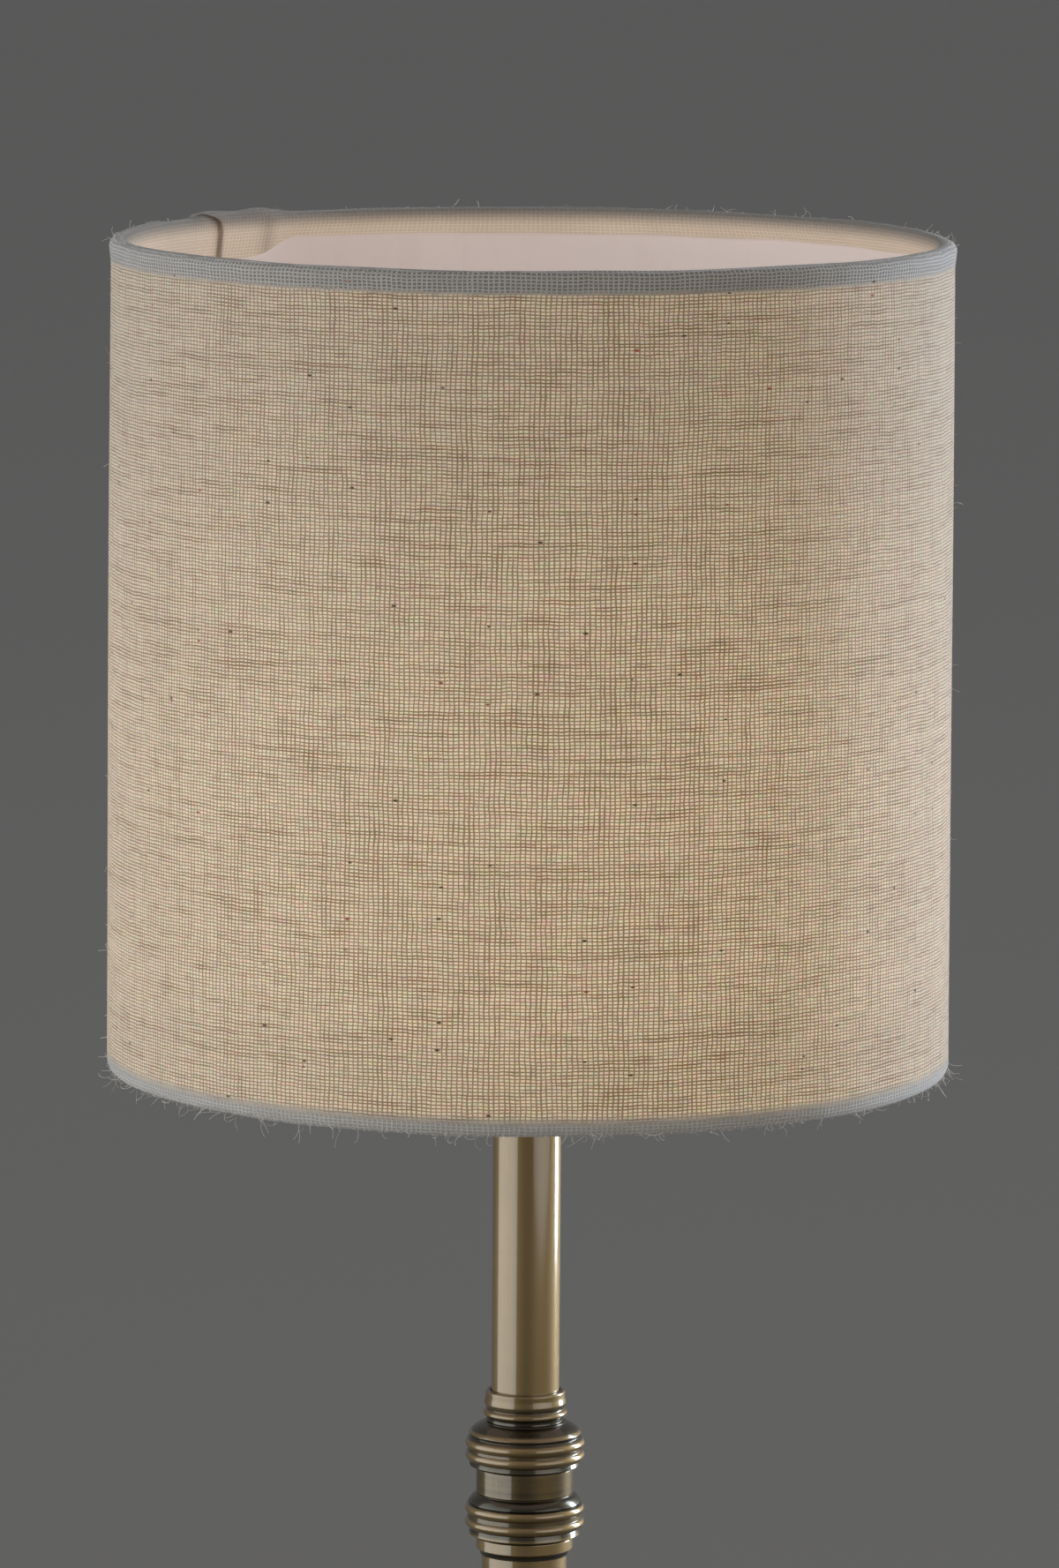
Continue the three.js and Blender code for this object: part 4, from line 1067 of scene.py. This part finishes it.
class LAMP_OT_fabric(bpy.types.Operator):
    """Woven drum with its edges rolled over the hoops and its ends overlapped in a seam"""

    bl_idname = "lamp.fabric"
    bl_label = "Shade Fabric"

    def execute(self, context):
        shade = context.scene.lamp_shade
        top_outer, top_inner = hem_outline(top=True)
        low_outer, low_inner = hem_outline(top=False)
        outline = [*top_outer, *reversed(top_inner), *low_inner, *reversed(low_outer)]
        outline = filled(outline, 4 * MM)
        columns = drum_angles(FINE)
        fabric = piece("shade_fabric_woven", drum_mesh(outline, columns), "shade_fabric", "shade")
        self.finish_inside(fabric, outline, columns)
        fibres = loose_fibres(shade.fibres)
        return {"FINISHED"}

    def finish_inside(self, fabric, outline, columns):
        """Gives the edge that is turned in its own finish, and marks the painted shade along its
        seam.
        """
        seam_shaded_from = 1.2 * MM
        turned_from = 1.9 * MM
        inner = [shade_radius(z) - r > seam_shaded_from for r, z in outline]
        # Painted shade of the seam's edge and its wrinkle, stored for the finishes to read
        seam_shades = [seam_shade_at(c, p[1]) * i for p, i in zip(outline, inner) for c in columns]
        store(fabric, "seam_shade", seam_shades)
        fabric.data.materials.append(turned_hem())
        for face in fabric.data.polygons:
            inset = SHADE_RADIUS - math.hypot(face.center.x, face.center.y)
            face.material_index = int(inset > turned_from)


def fibre_start(draw, kind, outward):
    """Height at which a fibre starts, the way that it starts in, and how long it may get."""
    rim = 1.2 * MM  # depth of the rims where fibres start
    clear = 8 * MM  # of the rims, for fibres off the weave
    if kind < 2:
        z = SHADE_LOW + draw.uniform(0, rim)
        ahead = Vector((0, 0, -draw.uniform(0.2, 1))) + outward * draw.uniform(0, 0.7)
        return z, ahead, 5.6 * MM
    if kind == 2:
        z = SHADE_HIGH - draw.uniform(0, rim)
        ahead = Vector((0, 0, draw.uniform(0.1, 0.7))) + outward * draw.uniform(0, 0.7)
        return z, ahead, 3.0 * MM
    z = draw.uniform(SHADE_LOW + clear, SHADE_HIGH - clear)
    ahead = outward * draw.uniform(0.5, 1.3) + Vector((0, 0, draw.uniform(-1, 1)))
    return z, ahead, 3.8 * MM


def loose_fibres(number):
    """Stray fibres: two in five at the lower rim, one at the upper rim, two off the weave."""
    draw = random.Random(7)
    rooted = 0.15 * MM  # start of a fibre inside the fabric
    sunk_wall = 0.1 * MM  # of the drum between its rims
    roll = lamp("shade").roll
    steps = 7
    bm = bmesh.new()
    for i in range(number):
        turn = draw.uniform(-math.pi, math.pi)
        outward = Vector((math.cos(turn), math.sin(turn), 0))
        along = Vector((-outward.y, outward.x, 0))
        z, ahead, longest = fibre_start(draw, i % 5, outward)
        ahead = (ahead + along * draw.uniform(-1.1, 1.1)).normalized()
        drop = min(z - SHADE_LOW, SHADE_HIGH - z)
        sunk = sunk_wall
        if drop <= roll:
            sunk = roll - math.sqrt(max(0, drop * (2 * roll - drop)))
        place = outward * (shade_radius(z) - sunk - rooted) + Vector((0, 0, z))
        axis = Vector([draw.uniform(-1, 1) for _ in range(3)]).normalized()
        reach = 0.8 * MM + longest * draw.random() ** 3.2
        curl = draw.uniform(0.1, 0.75)
        path = []
        for _ in range(steps):
            path.append(place.copy())
            place = place + ahead * (reach / steps)
            ahead = Matrix.Rotation(curl, 3, axis) @ ahead
            ahead = (ahead + outward * 0.1).normalized()
        tube(bm, path, draw.uniform(0.025, 0.055) * MM, 3)
    return piece("loose_fibres", bm, None, "shade", loose_fibre(), "natural_linen")


class LAMP_OT_liner(bpy.types.Operator):
    """Translucent sheet that carries the fabric"""

    bl_idname = "lamp.liner"
    bl_label = "Shade Liner"

    def execute(self, context):
        low, high, _ = span("shade_liner")
        outer = context.scene.lamp_shade.thickness + 0.2 * MM
        inner = outer + 0.5 * MM
        rows = 40
        levels = [low + (high - low) * i / rows for i in range(rows + 1)]
        outline = [(shade_radius(z) - outer, z) for z in levels]
        outline += [(shade_radius(z) - inner, z) for z in reversed(levels)]
        sheet = drum_mesh(outline, drum_angles(WIDE))
        piece("shade_liner_sheet", sheet, "shade_liner", "shade")
        return {"FINISHED"}


class LAMP_OT_carrier(bpy.types.Operator):
    """Ring and arms that carry the shade, with the washers and the clamp ring that hold them"""

    bl_idname = "lamp.carrier"
    bl_label = "Shade Carrier"

    # Course of an arm: the share of its reach, and the share of its drop made by then
    course = ((0, 0), (0.08, 0), (0.2, 0.1), (0.5, 0.5), (0.8, 0.9), (0.93, 1), (1, 1))
    arm_radius = 1.5 * MM
    sunk_in_ring = 0.6 * MM
    inside_hoop = 1.6 * MM  # end of an arm, from the hoop's outside
    notches = 12
    notch_steps = 16
    notch_depth = 0.8 * MM

    def execute(self, context):
        self.ring("carrier_ring", "shade", 20 * MM, WIDE, 0.35 * MM)
        self.ring("seat_washer", "seat", THREAD_HOLE, SLIM, 0.2 * MM)
        self.ring("clamp_washer", "clamp_washer", THREAD_HOLE, SLIM, 0.15 * MM)
        self.arms()
        self.clamp_ring()
        return {"FINISHED"}

    def ring(self, node, body, bore, segments, edge):
        piece(f"{node}_turned", turned(sleeve(node, bore, edge), segments), node, body)

    def arms(self):
        hoop_z = middle("bottom_wire")[2]
        start_z = middle("carrier_ring")[2]
        start = span("carrier_ring")[2] - self.sunk_in_ring
        end = span("bottom_wire")[2] - self.inside_hoop
        points = [
            (start + (end - start) * along, 0, start_z + (hoop_z - start_z) * down)
            for along, down in self.course
        ]
        path = flow(points, 8)
        for number, degrees in enumerate((90, 210, 330), 1):
            turn = Matrix.Rotation(math.radians(degrees), 3, "Z")
            places = [turn @ Vector(p) for p in path]
            bm = tube(bmesh.new(), places, self.arm_radius, 16, self.pressed)
            name = f"carrier_arm_{number}"
            piece(f"{name}_wire", bm, name, "shade")

    @staticmethod
    def pressed(share):
        """The arm's ends are pressed flat where they are welded."""
        return 1 - 0.42 * (1 - window(share, 0, 1, 0.05))

    def knurled_loop(self, size, z, cut):
        """A circle with a notch of the cut's depth at each step round."""
        start, end, edge = 0.02, 0.34, 0.1  # of a notch, as shares of its step
        points = []
        segments = self.notch_steps * self.notches
        for i in range(segments):
            share = (i % self.notch_steps) / self.notch_steps
            radius = size - cut * window(share, start, end, edge)
            turn = TURN * i / segments
            points.append((radius * math.cos(turn), radius * math.sin(turn), z))
        return points

    def clamp_ring(self):
        low, high, radius = span("clamp_ring")
        edge = 0.7 * MM
        under = reversed(arc(radius - edge, low + edge, edge, 0, -90, 5))
        over = arc(radius - edge, high - edge, edge, 0, 90, 5)
        inside = [(THREAD_HOLE, high - edge), (THREAD_HOLE, low + edge)]
        loops = [self.knurled_loop(THREAD_HOLE + edge, low, 0)]
        for r, z in (*under, *over):
            cut = self.notch_depth * window(r, radius - 1.6 * MM, radius + FAR, 0.8 * MM)
            loops.append(self.knurled_loop(r, z, cut))
        for r, z in ((THREAD_HOLE + edge, high), *inside):
            loops.append(self.knurled_loop(r, z, 0))
        piece("clamp_ring_knurled", loft(bmesh.new(), loops), "clamp_ring", "clamp_ring")


# Column


def collar_outline(node, step, pitch, shoulder, small_end, edge_rise):
    """From the barrel up: fillet, band, two beads with a groove between, domed shoulder."""
    low, high, crest = span(node)
    bead = 1.25 * MM
    band = 13.05 * MM
    groove = 13.4 * MM
    fillet = 0.5 * MM
    chamfer = 0.15 * MM
    eased = band - 0.3 * MM
    shoulder_edge = 13.25 * MM
    neck = 12.9 * MM
    band_low = low + fillet
    band_top = band_low + step
    sweep = math.degrees(math.acos((groove - crest + bead) / bead))
    edge_z = high - shoulder + edge_rise
    pull = (small_end + 0.66 * (shoulder_edge - small_end), edge_z + 0.62 * (high - edge_z))
    return [
        (ROD_HOLE, low),
        (BARREL_RADIUS - chamfer, low),
        *bend((BARREL_RADIUS, low), (BARREL_RADIUS, band_low), (eased, band_low), 5),
        (band, band_low + chamfer),
        (band - 0.12 * MM, band_top - 0.5 * MM),
        (eased, band_top - 0.05 * MM),
        *arc(crest - bead, band_top + bead, bead, -sweep, sweep, 12),
        *arc(crest - bead, band_top + bead + pitch, bead, -sweep, sweep, 12),
        (neck, high - shoulder + min(0.35 * MM, edge_rise / 3)),
        *bend((shoulder_edge, edge_z), pull, (small_end, high - 0.2 * MM), 10),
        (small_end - 0.1 * MM, high),
        (ROD_HOLE, high),
    ]


def ferrule_outline(node, mouth_up):
    """A cap on the lower tube: a plain band, and a cove that runs down to the tube."""
    low, high, _ = span(node)
    height = high - low
    mouth = 10.2 * MM
    lip = mouth + 0.15 * MM
    cove = 1.5 * MM
    chamfer = 0.2 * MM
    web = 1.2 * MM
    outline = [
        (ROD_HOLE, 0),
        (BARREL_RADIUS - chamfer, 0),
        (BARREL_RADIUS, chamfer),
        *bend((BARREL_RADIUS, height - cove), (lip, height - cove * 0.85), (lip, height)),
        (mouth, height),
        (mouth, web),
        (ROD_HOLE, web),
    ]
    return [(r, low + h if mouth_up else high - h) for r, h in outline]


def socket_outline():
    """The upper tube's socket: plain band, swelling, bead and neck."""
    low, high, _ = span("tube_socket")
    floor = low + 2.3 * MM
    lip = 9.4 * MM
    # Radius of the outside and depth under the upper edge, in millimetres
    profile = (
        (9.02, 7.3),
        (9.0, 6.6),
        (9.15, 6.15),
        (9.72, 5.75),
        (9.85, 5.3),
        (9.7, 4.85),
        (9.2, 4.35),
        (9.18, 4.0),
        (9.5, 3.35),
        (9.6, 2.9),
        (9.48, 2.1),
        (9.4, 1.6),
        (9.4, 0.5),
    )
    return [
        (ROD_HOLE, low),
        *[(r * MM, high - drop * MM) for r, drop in flow(profile, 5)],
        *bend((lip, high - 0.4 * MM), (lip - 0.05 * MM, high), (lip - 0.4 * MM, high), 4),
        (TUBE_SEAT, high),
        (TUBE_SEAT, floor),
        (ROD_HOLE, floor),
    ]


def cup_outline():
    """Cup of the light module: socket, bowl, flange and the collar above it."""
    low, high, flange = span("head_cup")
    rim = 9 * MM
    collar = 19 * MM
    collar_bore = 17.7 * MM
    hollow = 16 * MM
    well = 10 * MM
    seat = low + 5 * MM
    floor = low + 7.5 * MM
    flange_z = high - 10 * MM
    ledge = flange_z + 2.5 * MM
    hollow_floor = flange_z - 3 * MM
    outline = [
        (TUBE_SEAT, low),
        (rim, low),
        *quarter((rim, seat), (flange, flange_z - 2 * MM), 18),
        (flange, flange_z),
        (collar, flange_z),
        (collar, high),
        (collar_bore, high),
        (collar_bore, ledge),
        (hollow, ledge),
        (hollow, hollow_floor),
        (well, hollow_floor),
        (well, floor),
        (ROD_HOLE, floor),
        (ROD_HOLE, seat),
        (TUBE_SEAT, seat),
    ]
    return soften(outline, 0.35 * MM)


class LAMP_OT_column(bpy.types.Operator):
    """Turned collars, ferrules, barrel, socket and tubes, with the cup on top"""

    bl_idname = "lamp.column"
    bl_label = "Column"

    # Least share of patina on the pieces that are darker all over
    patina = {"barrel": 0.66, "tube_socket": 0.50, "upper_collar": 0.36, "lower_collar": 0.30}
    # Pieces whose patina follows their own crests, not those beside them
    apart = ("upper_tube", "lower_tube", "barrel", "upper_ferrule", "foot_ferrule")
    # Band, pitch of the beads, shoulder, small end and rise of the shoulder's edge
    broad_collar = (1.7 * MM, 3.3 * MM, 2.5 * MM, 11.5 * MM, 0.25 * MM)
    slim_collar = (1.25 * MM, 2.9 * MM, 3.9 * MM, 9.65 * MM, 1.15 * MM)
    sleeve_edge = 0.15 * MM

    def execute(self, context):
        outlines = {
            "foot_collar": collar_outline("foot_collar", *self.broad_collar),
            "foot_ferrule": ferrule_outline("foot_ferrule", mouth_up=True),
            "lower_tube": sleeve("lower_tube", 9 * MM, self.sleeve_edge),
            "upper_ferrule": ferrule_outline("upper_ferrule", mouth_up=False),
            "lower_collar": collar_outline("lower_collar", *self.broad_collar),
            "barrel": sleeve("barrel", ROD_HOLE, self.sleeve_edge),
            "upper_collar": collar_outline("upper_collar", *self.slim_collar),
            "tube_socket": socket_outline(),
            "upper_tube": sleeve("upper_tube", 7 * MM, self.sleeve_edge),
            "head_cup": cup_outline(),
        }
        outlines = {node: filled(outline, 1.2 * MM) for node, outline in outlines.items()}
        line = [point for outline in outlines.values() for point in outline]
        for node, outline in outlines.items():
            outline = soften(outline, 0.12 * MM, least=30)
            part = piece(f"{node}_turned", turned(outline, SLIM), node)
            crests = outline if node in self.apart else line
            mark_grooves(part, outline, under_crests(crests, outline, self.patina.get(node, 0.0)))
        return {"FINISHED"}


class LAMP_OT_diffuser(bpy.types.Operator):
    """Opal dome over the light board"""

    bl_idname = "lamp.diffuser"
    bl_label = "Diffuser"

    def execute(self, context):
        low, high, radius = span("diffuser")
        wall = 1.5 * MM

        def dome(size):
            spring = high - radius / 2
            return [(size * a, spring + size * b / 2) for a, b in arc(0, 0, 1, 0, 90, 16)]

        inner = radius - wall
        outline = [(inner, low), (radius, low), *dome(radius), *reversed(dome(inner))]
        bm = turned(soften(outline, 0.3 * MM, least=40), SLIM)
        piece("diffuser_dome", bm, "diffuser")
        return {"FINISHED"}


# Base


class LAMP_OT_base(bpy.types.Operator):
    """Turned base shell with its holes, and the foot pad under it"""

    bl_idname = "lamp.base"
    bl_label = "Base"

    rim_height = 7 * MM
    cove = 3 * MM
    drum = 57 * MM
    bead = 1.5 * MM
    shoulder = 6 * MM
    bell_radius = 27 * MM
    neck = 13 * MM
    wall = 1.6 * MM
    top_wall = 3 * MM
    mouth_height = 4 * MM
    slip = 0.2 * MM  # round what sits in a hole
    # Reach of each cut, from the drum's radius or the neck's top
    port_cut = (-5 * MM, 6 * MM)
    light_cut = (-10 * MM, 5 * MM)
    button_cut = (-20 * MM, -8 * MM)
    pad_bore = 14 * MM

    def execute(self, context):
        outside, outline = self.shell_outline()
        shell = piece("base_shell_turned", turned(filled(outline, 3 * MM), WIDE), "base_shell")
        carve(shell, self.port_hole(), self.light_hole(), self.button_hole())
        smooth(shell)
        outside = filled(outside, 0.4 * MM, closed=False)
        mark_grooves(shell, outside, in_hollows(outside))
        self.pad()
        return {"FINISHED"}

    def shell_outline(self):
        """The shell's outside, drawn upwards, and its whole closed outline."""
        land = BASE_HIGH - BELL_HEIGHT
        shoulder_z = land - self.shoulder
        land_radius = self.drum - self.shoulder
        half_rim = self.rim_height / 2
        mouth = BASE_RADIUS - half_rim
        rim_top = BASE_LOW + self.rim_height
        top_under = BASE_HIGH - self.top_wall
        outside = [
            *arc(mouth, BASE_LOW + half_rim, half_rim, -90, 90, 20),
            *arc(self.drum + self.cove, rim_top + self.cove, self.cove, 270, 180, 10),
            *arc(self.drum, shoulder_z - self.bead, self.bead, -90, 90, 14),
            *arc(land_radius, shoulder_z, self.shoulder, 0, 90, 14),
            *quarter((self.bell_radius, land), (self.neck, BASE_HIGH), 24),
        ]
        bell = quarter(
            (self.bell_radius - self.wall, land - self.wall), (self.neck - self.wall, top_under), 10
        )
        inside = [
            (ROD_HOLE, BASE_HIGH),
            (ROD_HOLE, top_under),
            *reversed(bell),
            *arc(land_radius, shoulder_z, self.shoulder - self.wall, 90, 0, 8),
            (self.drum - self.wall, rim_top + self.cove / 2),
            (mouth, BASE_LOW + self.mouth_height),
        ]
        return outside, soften(outside + inside, 0.25 * MM, least=40)

    def port_hole(self):
        z, *size = facing("port_bezel")[2:]
        width, height = (side + 2 * self.slip for side in size)
        places = [(0, self.drum + reach) for reach in self.port_cut]
        loops = rounded_loops(width, height, height / 3, z, places)
        return object_from("cutter", loft(bmesh.new(), loops, closed=False, capped=True))

    def light_hole(self):
        x, _, z = middle("charge_light")
        radius = facing("charge_light")[3] / 2 + self.slip
        path = [(x, self.drum + reach, z) for reach in self.light_cut]
        return object_from("cutter", tube(bmesh.new(), path, radius, SMALL))

    def button_hole(self):
        radius = 6.75 * MM
        y = middle("button_ring")[1]
        path = [(0, y, BASE_HIGH + reach) for reach in self.button_cut]
        return object_from("cutter", tube(bmesh.new(), path, radius, SMALL))

    def pad(self):
        outline = sleeve("foot_pad", self.pad_bore, 0.5 * MM, 4)
        pile = 0.12 * MM
        still = span("foot_pad")[0] + 0.2 * MM  # the face that the lamp stands on stays flat
        bm = turned(filled(outline, 2.5 * MM), WIDE)
        for vert in bm.verts:
            rough = noise.noise(vert.co * 900) * pile
            vert.co.xy *= 1 + rough / vert.co.xy.length
            if still < vert.co.z:
                vert.co.z += rough * 0.4
        piece("foot_pad_felt", bm, "foot_pad")


class LAMP_OT_button(bpy.types.Operator):
    """Push button in its ring on the base"""

    bl_idname = "lamp.button"
    bl_label = "Push Button"

    def execute(self, context):
        centre = (0.0, middle("button_ring")[1])
        self.ring(centre)
        self.cap(centre)
        return {"FINISHED"}

    def ring(self, centre):
        low, high, outer = span("button_ring")
        hole = 5.55 * MM
        neck = 6.55 * MM
        upright = 0.35 * MM
        slope = 1.1 * MM
        dark_foot = 0.15 * MM
        land = BASE_HIGH - BELL_HEIGHT + 0.05 * MM
        outline = [
            (hole, low),
            (neck, low),
            (neck, land),
            (outer, land),
            *bend((outer, land + upright), (outer, high), (hole + slope, high)),
            (hole, high),
        ]
        outline = soften(outline, 0.2 * MM)
        ring = piece("button_ring_turned", turned(outline, SLIM, centre), "button_ring")
        foot = [float(z < land + dark_foot) for _, z in outline]
        mark_grooves(ring, outline, foot, centre)

    def cap(self, centre):
        low, high, flange = span("power_button")
        radius = 5.2 * MM
        edge = 0.8 * MM
        dish = 0.45 * MM
        rings = 8
        outline = [
            (0, low),
            (flange, low),
            (flange, low + edge),
            (radius, low + edge),
            *arc(radius - edge, high - edge, edge, 0, 90),
        ]
        for i in range(1, rings + 1):
            share = 1 - i / rings
            outline.append(((radius - edge) * share, high - dish * (1 - share**2)))
        bm = turned(soften(outline, 0.15 * MM, least=40), SLIM, centre)
        piece("power_button_turned", bm, "power_button", "button")


class LAMP_OT_port(bpy.types.Operator):
    """Charging socket, its bezel and the charge light at the back of the base"""

    bl_idname = "lamp.port"
    bl_label = "Charging Port"

    least_straight = 0.01 * MM  # left of a slot's ends, which are nearly half circles
    slot_slip = 0.2 * MM  # round the socket in the bezel

    def execute(self, context):
        self.bezel()
        self.socket()
        self.light()
        return {"FINISHED"}

    def bezel(self):
        back, front, z, width, height = facing("port_bezel")
        slot_width, slot_height = (side + 2 * self.slot_slip for side in facing("usb_socket")[3:])
        edge = 0.45 * MM
        outer = (
            (0, back),
            (0, front - edge),
            (0.065 * MM, front - 0.3 * edge),
            (0.5 * edge, front),
        )
        inner = (
            (-0.8 * edge, front),
            (-0.2 * edge, front - 0.35 * edge),
            (0, front - edge),
            (0, back),
        )
        loops = rounded_loops(width, height, height / 3, z, outer)
        corner = slot_height / 2 - self.least_straight
        loops += rounded_loops(slot_width, slot_height, corner, z, inner)
        piece("port_bezel_frame", loft(bmesh.new(), loops), "port_bezel")

    def socket(self):
        back, front, z, width, height = facing("usb_socket")
        shell = 0.3 * MM
        floor = back + 2 * shell
        chamfer = 0.08 * MM
        places = (
            (0, back),
            (0, front - chamfer),
            (chamfer, front),
            (0.7 * shell, front),
            (shell, front - 0.15 * MM),
            (shell, floor),
        )
        loops = rounded_loops(width, height, height / 2 - self.least_straight, z, places)
        bm = loft(bmesh.new(), loops, closed=False, capped=True)
        loft(bm, self.tongue(floor, front, z), closed=False, capped=True)
        piece("usb_socket_shell", bm, "usb_socket")

    @staticmethod
    def tongue(floor, front, z):
        """The contact tongue, set back in the shell, with a tapered end."""
        width, height = 6.7 * MM, 0.7 * MM
        taper = 0.3 * MM
        end = front - 0.6 * MM
        places = ((0, floor - 0.1 * MM), (0, end - 0.2 * MM))
        loops = rounded_loops(width, height, 0.1 * MM, z, places)
        return loops + rounded_loops(width - taper, height - taper, 0.05 * MM, z, [(0, end)])

    def light(self):
        back, front, z, width, _ = facing("charge_light")
        x = middle("charge_light")[0]
        radius = width / 2
        dome = 0.9 * MM
        profile = [(radius, back), (radius, front - dome)]
        profile += [(radius * r, front - dome + dome * y) for r, y in arc(0, 0, 1, 12, 84, 6)]
        rings = [[(a, y, b) for a, b, _ in circle(r, 0, SMALL, (x, z))] for r, y in profile]
        bm = loft(bmesh.new(), rings, closed=False, capped=True)
        piece("charge_light_lens", bm, "charge_light", finish=indicator_lens())


class LAMP_OT_fittings(bpy.types.Operator):
    """Gives every part of the frame that stays its own finish"""

    bl_idname = "lamp.fittings"
    bl_label = "Inner Fittings"

    def execute(self, context):
        for name, node in frame["nodes"].items():
            finish = FINISHES[SLOT_OF[name]]()
            for place in node.material_slots:
                place.material = finish
        return {"FINISHED"}


# Stage


def reached(name, thing, alone):
    """What a light reaches: one thing alone, or all but that thing."""
    chosen = bpy.data.collections.new(name)
    chosen.objects.link(thing)
    chosen.collection_objects[0].light_linking.link_state = "INCLUDE" if alone else "EXCLUDE"
    return chosen


def softbox(name, azimuth, distance, size, radiance, tint, spread, reaches, height=None):
    """A soft light: upright on the floor and facing the lamp, or hung up and facing its foot."""
    data = bpy.data.lights.new(name, "AREA")
    data.shape = "RECTANGLE"
    data.size, data.size_y = size
    data.color = tint
    half = math.radians(spread / 2)
    data.spread = 2 * half
    data.energy = radiance * math.pi * data.size * data.size_y * (1 - half / math.tan(half))
    made = bpy.data.objects.new(name, data)
    bpy.context.scene.collection.objects.link(made)
    turn = math.radians(azimuth)
    back = Vector((math.sin(turn), -math.cos(turn), 0)) * distance
    back.z = height or 0
    made.location = back if height else back + Vector((0, 0, data.size_y / 2))
    made.rotation_mode = "QUATERNION"
    made.rotation_quaternion = back.to_track_quat("Z", "Y")
    made.visible_camera = False
    made.light_linking.receiver_collection = reaches


class LAMP_OT_stage(bpy.types.Operator):
    """Camera, pale floor with its own overhead light, room light and four panels round the lamp"""

    bl_idname = "lamp.stage"
    bl_label = "Stage"

    floor_reach = 20.0
    side = (0.92, 0.96, 1.0)
    strip = (0.79, 0.88, 1.0)
    fill = (1.0, 0.99, 0.97)

    # Name, azimuth, distance, size, radiance, tint and spread, in degrees, metres and watts
    panels = (
        ("left_front_panel", -51, 0.42, (0.30, 0.78), 2.35, side, 110),
        ("left_back_panel", -89, 0.42, (0.30, 0.78), 2.35, side, 110),
        ("right_strip", 122, 1.0, (0.32, 0.84), 26, strip, 80),
        ("front_fill", 52, 1.0, (1.15, 0.90), 1.65, fill, 110),
    )
    overhead = ("overhead", 127, 0.8, (1.0, 1.0), 1.4, fill, 179)
    overhead_height = 3.0

    def execute(self, context):
        self.camera(context)
        self.room(context)
        floor = self.floor()
        lamp_only = reached("all_but_floor", floor, alone=False)
        for panel in self.panels:
            softbox(*panel, lamp_only)
        floor_only = reached("floor_alone", floor, alone=True)
        softbox(*self.overhead, floor_only, self.overhead_height)
        return {"FINISHED"}

    def camera(self, context):
        stage = context.scene.lamp_stage
        data = bpy.data.cameras.new("view")
        data.lens = stage.lens
        data.sensor_width = 36
        data.sensor_fit = "AUTO"
        data.clip_start = 0.05
        data.clip_end = 100
        made = bpy.data.objects.new("view", data)
        context.scene.collection.objects.link(made)
        back = Vector((0, -math.cos(stage.look_down), math.sin(stage.look_down)))
        made.location = Vector((0, 0, stage.aim)) + back * stage.distance
        aim = back.to_track_quat("Z", "Y")
        made.rotation_mode = "QUATERNION"
        made.rotation_quaternion = aim @ Matrix.Rotation(stage.roll, 3, "Z").to_quaternion()
        context.scene.camera = made

    def floor(self):
        pale = tuple(lamp("stage").floor)
        paint = Paint("pale_floor")
        finish = paint.principled(
            base_color=paint.mix(paint.noise(3, 2), tuple(c * 0.98 for c in pale), pale),
            roughness=0.85,
            specular_ior_level=0.2,
        )
        reach = self.floor_reach
        corners = [(-reach, -reach, 0), (reach, -reach, 0), (reach, reach, 0), (-reach, reach, 0)]
        mesh = bpy.data.meshes.new("floor")
        mesh.from_pydata(corners, [], [(0, 1, 2, 3)])
        mesh.materials.append(finish)
        made = bpy.data.objects.new("floor", mesh)
        bpy.context.scene.collection.objects.link(made)
        return made

    def room(self, context):
        """Even light from all round, past which the camera sees the far floor's own grey."""
        stage = context.scene.lamp_stage
        paint = Paint("room", "worlds")
        straight = paint.node("ShaderNodeLightPath", output="Is Camera Ray")
        seen = paint.mix(straight, stage.room[:], stage.backdrop[:])
        light = paint.node("ShaderNodeBackground", None, {"Color": seen})
        paint.node("ShaderNodeOutputWorld", None, {"Surface": light})
        context.scene.world = paint.owner
        context.scene.view_settings.view_transform = "Standard"


class LAMP_PT_pieces(bpy.types.Panel):
    """The lamp's pieces and settings"""

    bl_idname = "LAMP_PT_pieces"
    bl_label = "Cordless Table Lamp"
    bl_space_type = "VIEW_3D"
    bl_region_type = "UI"
    bl_category = "Lamp"

    def draw(self, context):
        for operator in OPERATORS:
            self.layout.operator(operator.bl_idname)
        for name, group in GROUPS.items():
            box = self.layout.box()
            for setting in group.__annotations__:
                box.prop(getattr(context.scene, name), setting)


OPERATORS = (
    LAMP_OT_stage,
    LAMP_OT_fittings,
    LAMP_OT_liner,
    LAMP_OT_fabric,
    LAMP_OT_carrier,
    LAMP_OT_diffuser,
    LAMP_OT_column,
    LAMP_OT_base,
    LAMP_OT_button,
    LAMP_OT_port,
)
CLASSES = (*GROUPS.values(), *OPERATORS, LAMP_PT_pieces)


def register():
    for kind in CLASSES:
        bpy.utils.register_class(kind)
    for name, group in GROUPS.items():
        setattr(bpy.types.Scene, name, PointerProperty(type=group))


def unregister():
    for name in GROUPS:
        delattr(bpy.types.Scene, name)
    for kind in reversed(CLASSES):
        bpy.utils.unregister_class(kind)


def main():
    register()
    bpy.ops.lamp.stage()
    bpy.ops.lamp.fittings()
    bpy.ops.lamp.liner()
    bpy.ops.lamp.fabric()
    bpy.ops.lamp.carrier()
    bpy.ops.lamp.diffuser()
    bpy.ops.lamp.column()
    bpy.ops.lamp.base()
    bpy.ops.lamp.button()
    bpy.ops.lamp.port()


if __name__ == "__main__":
    main()
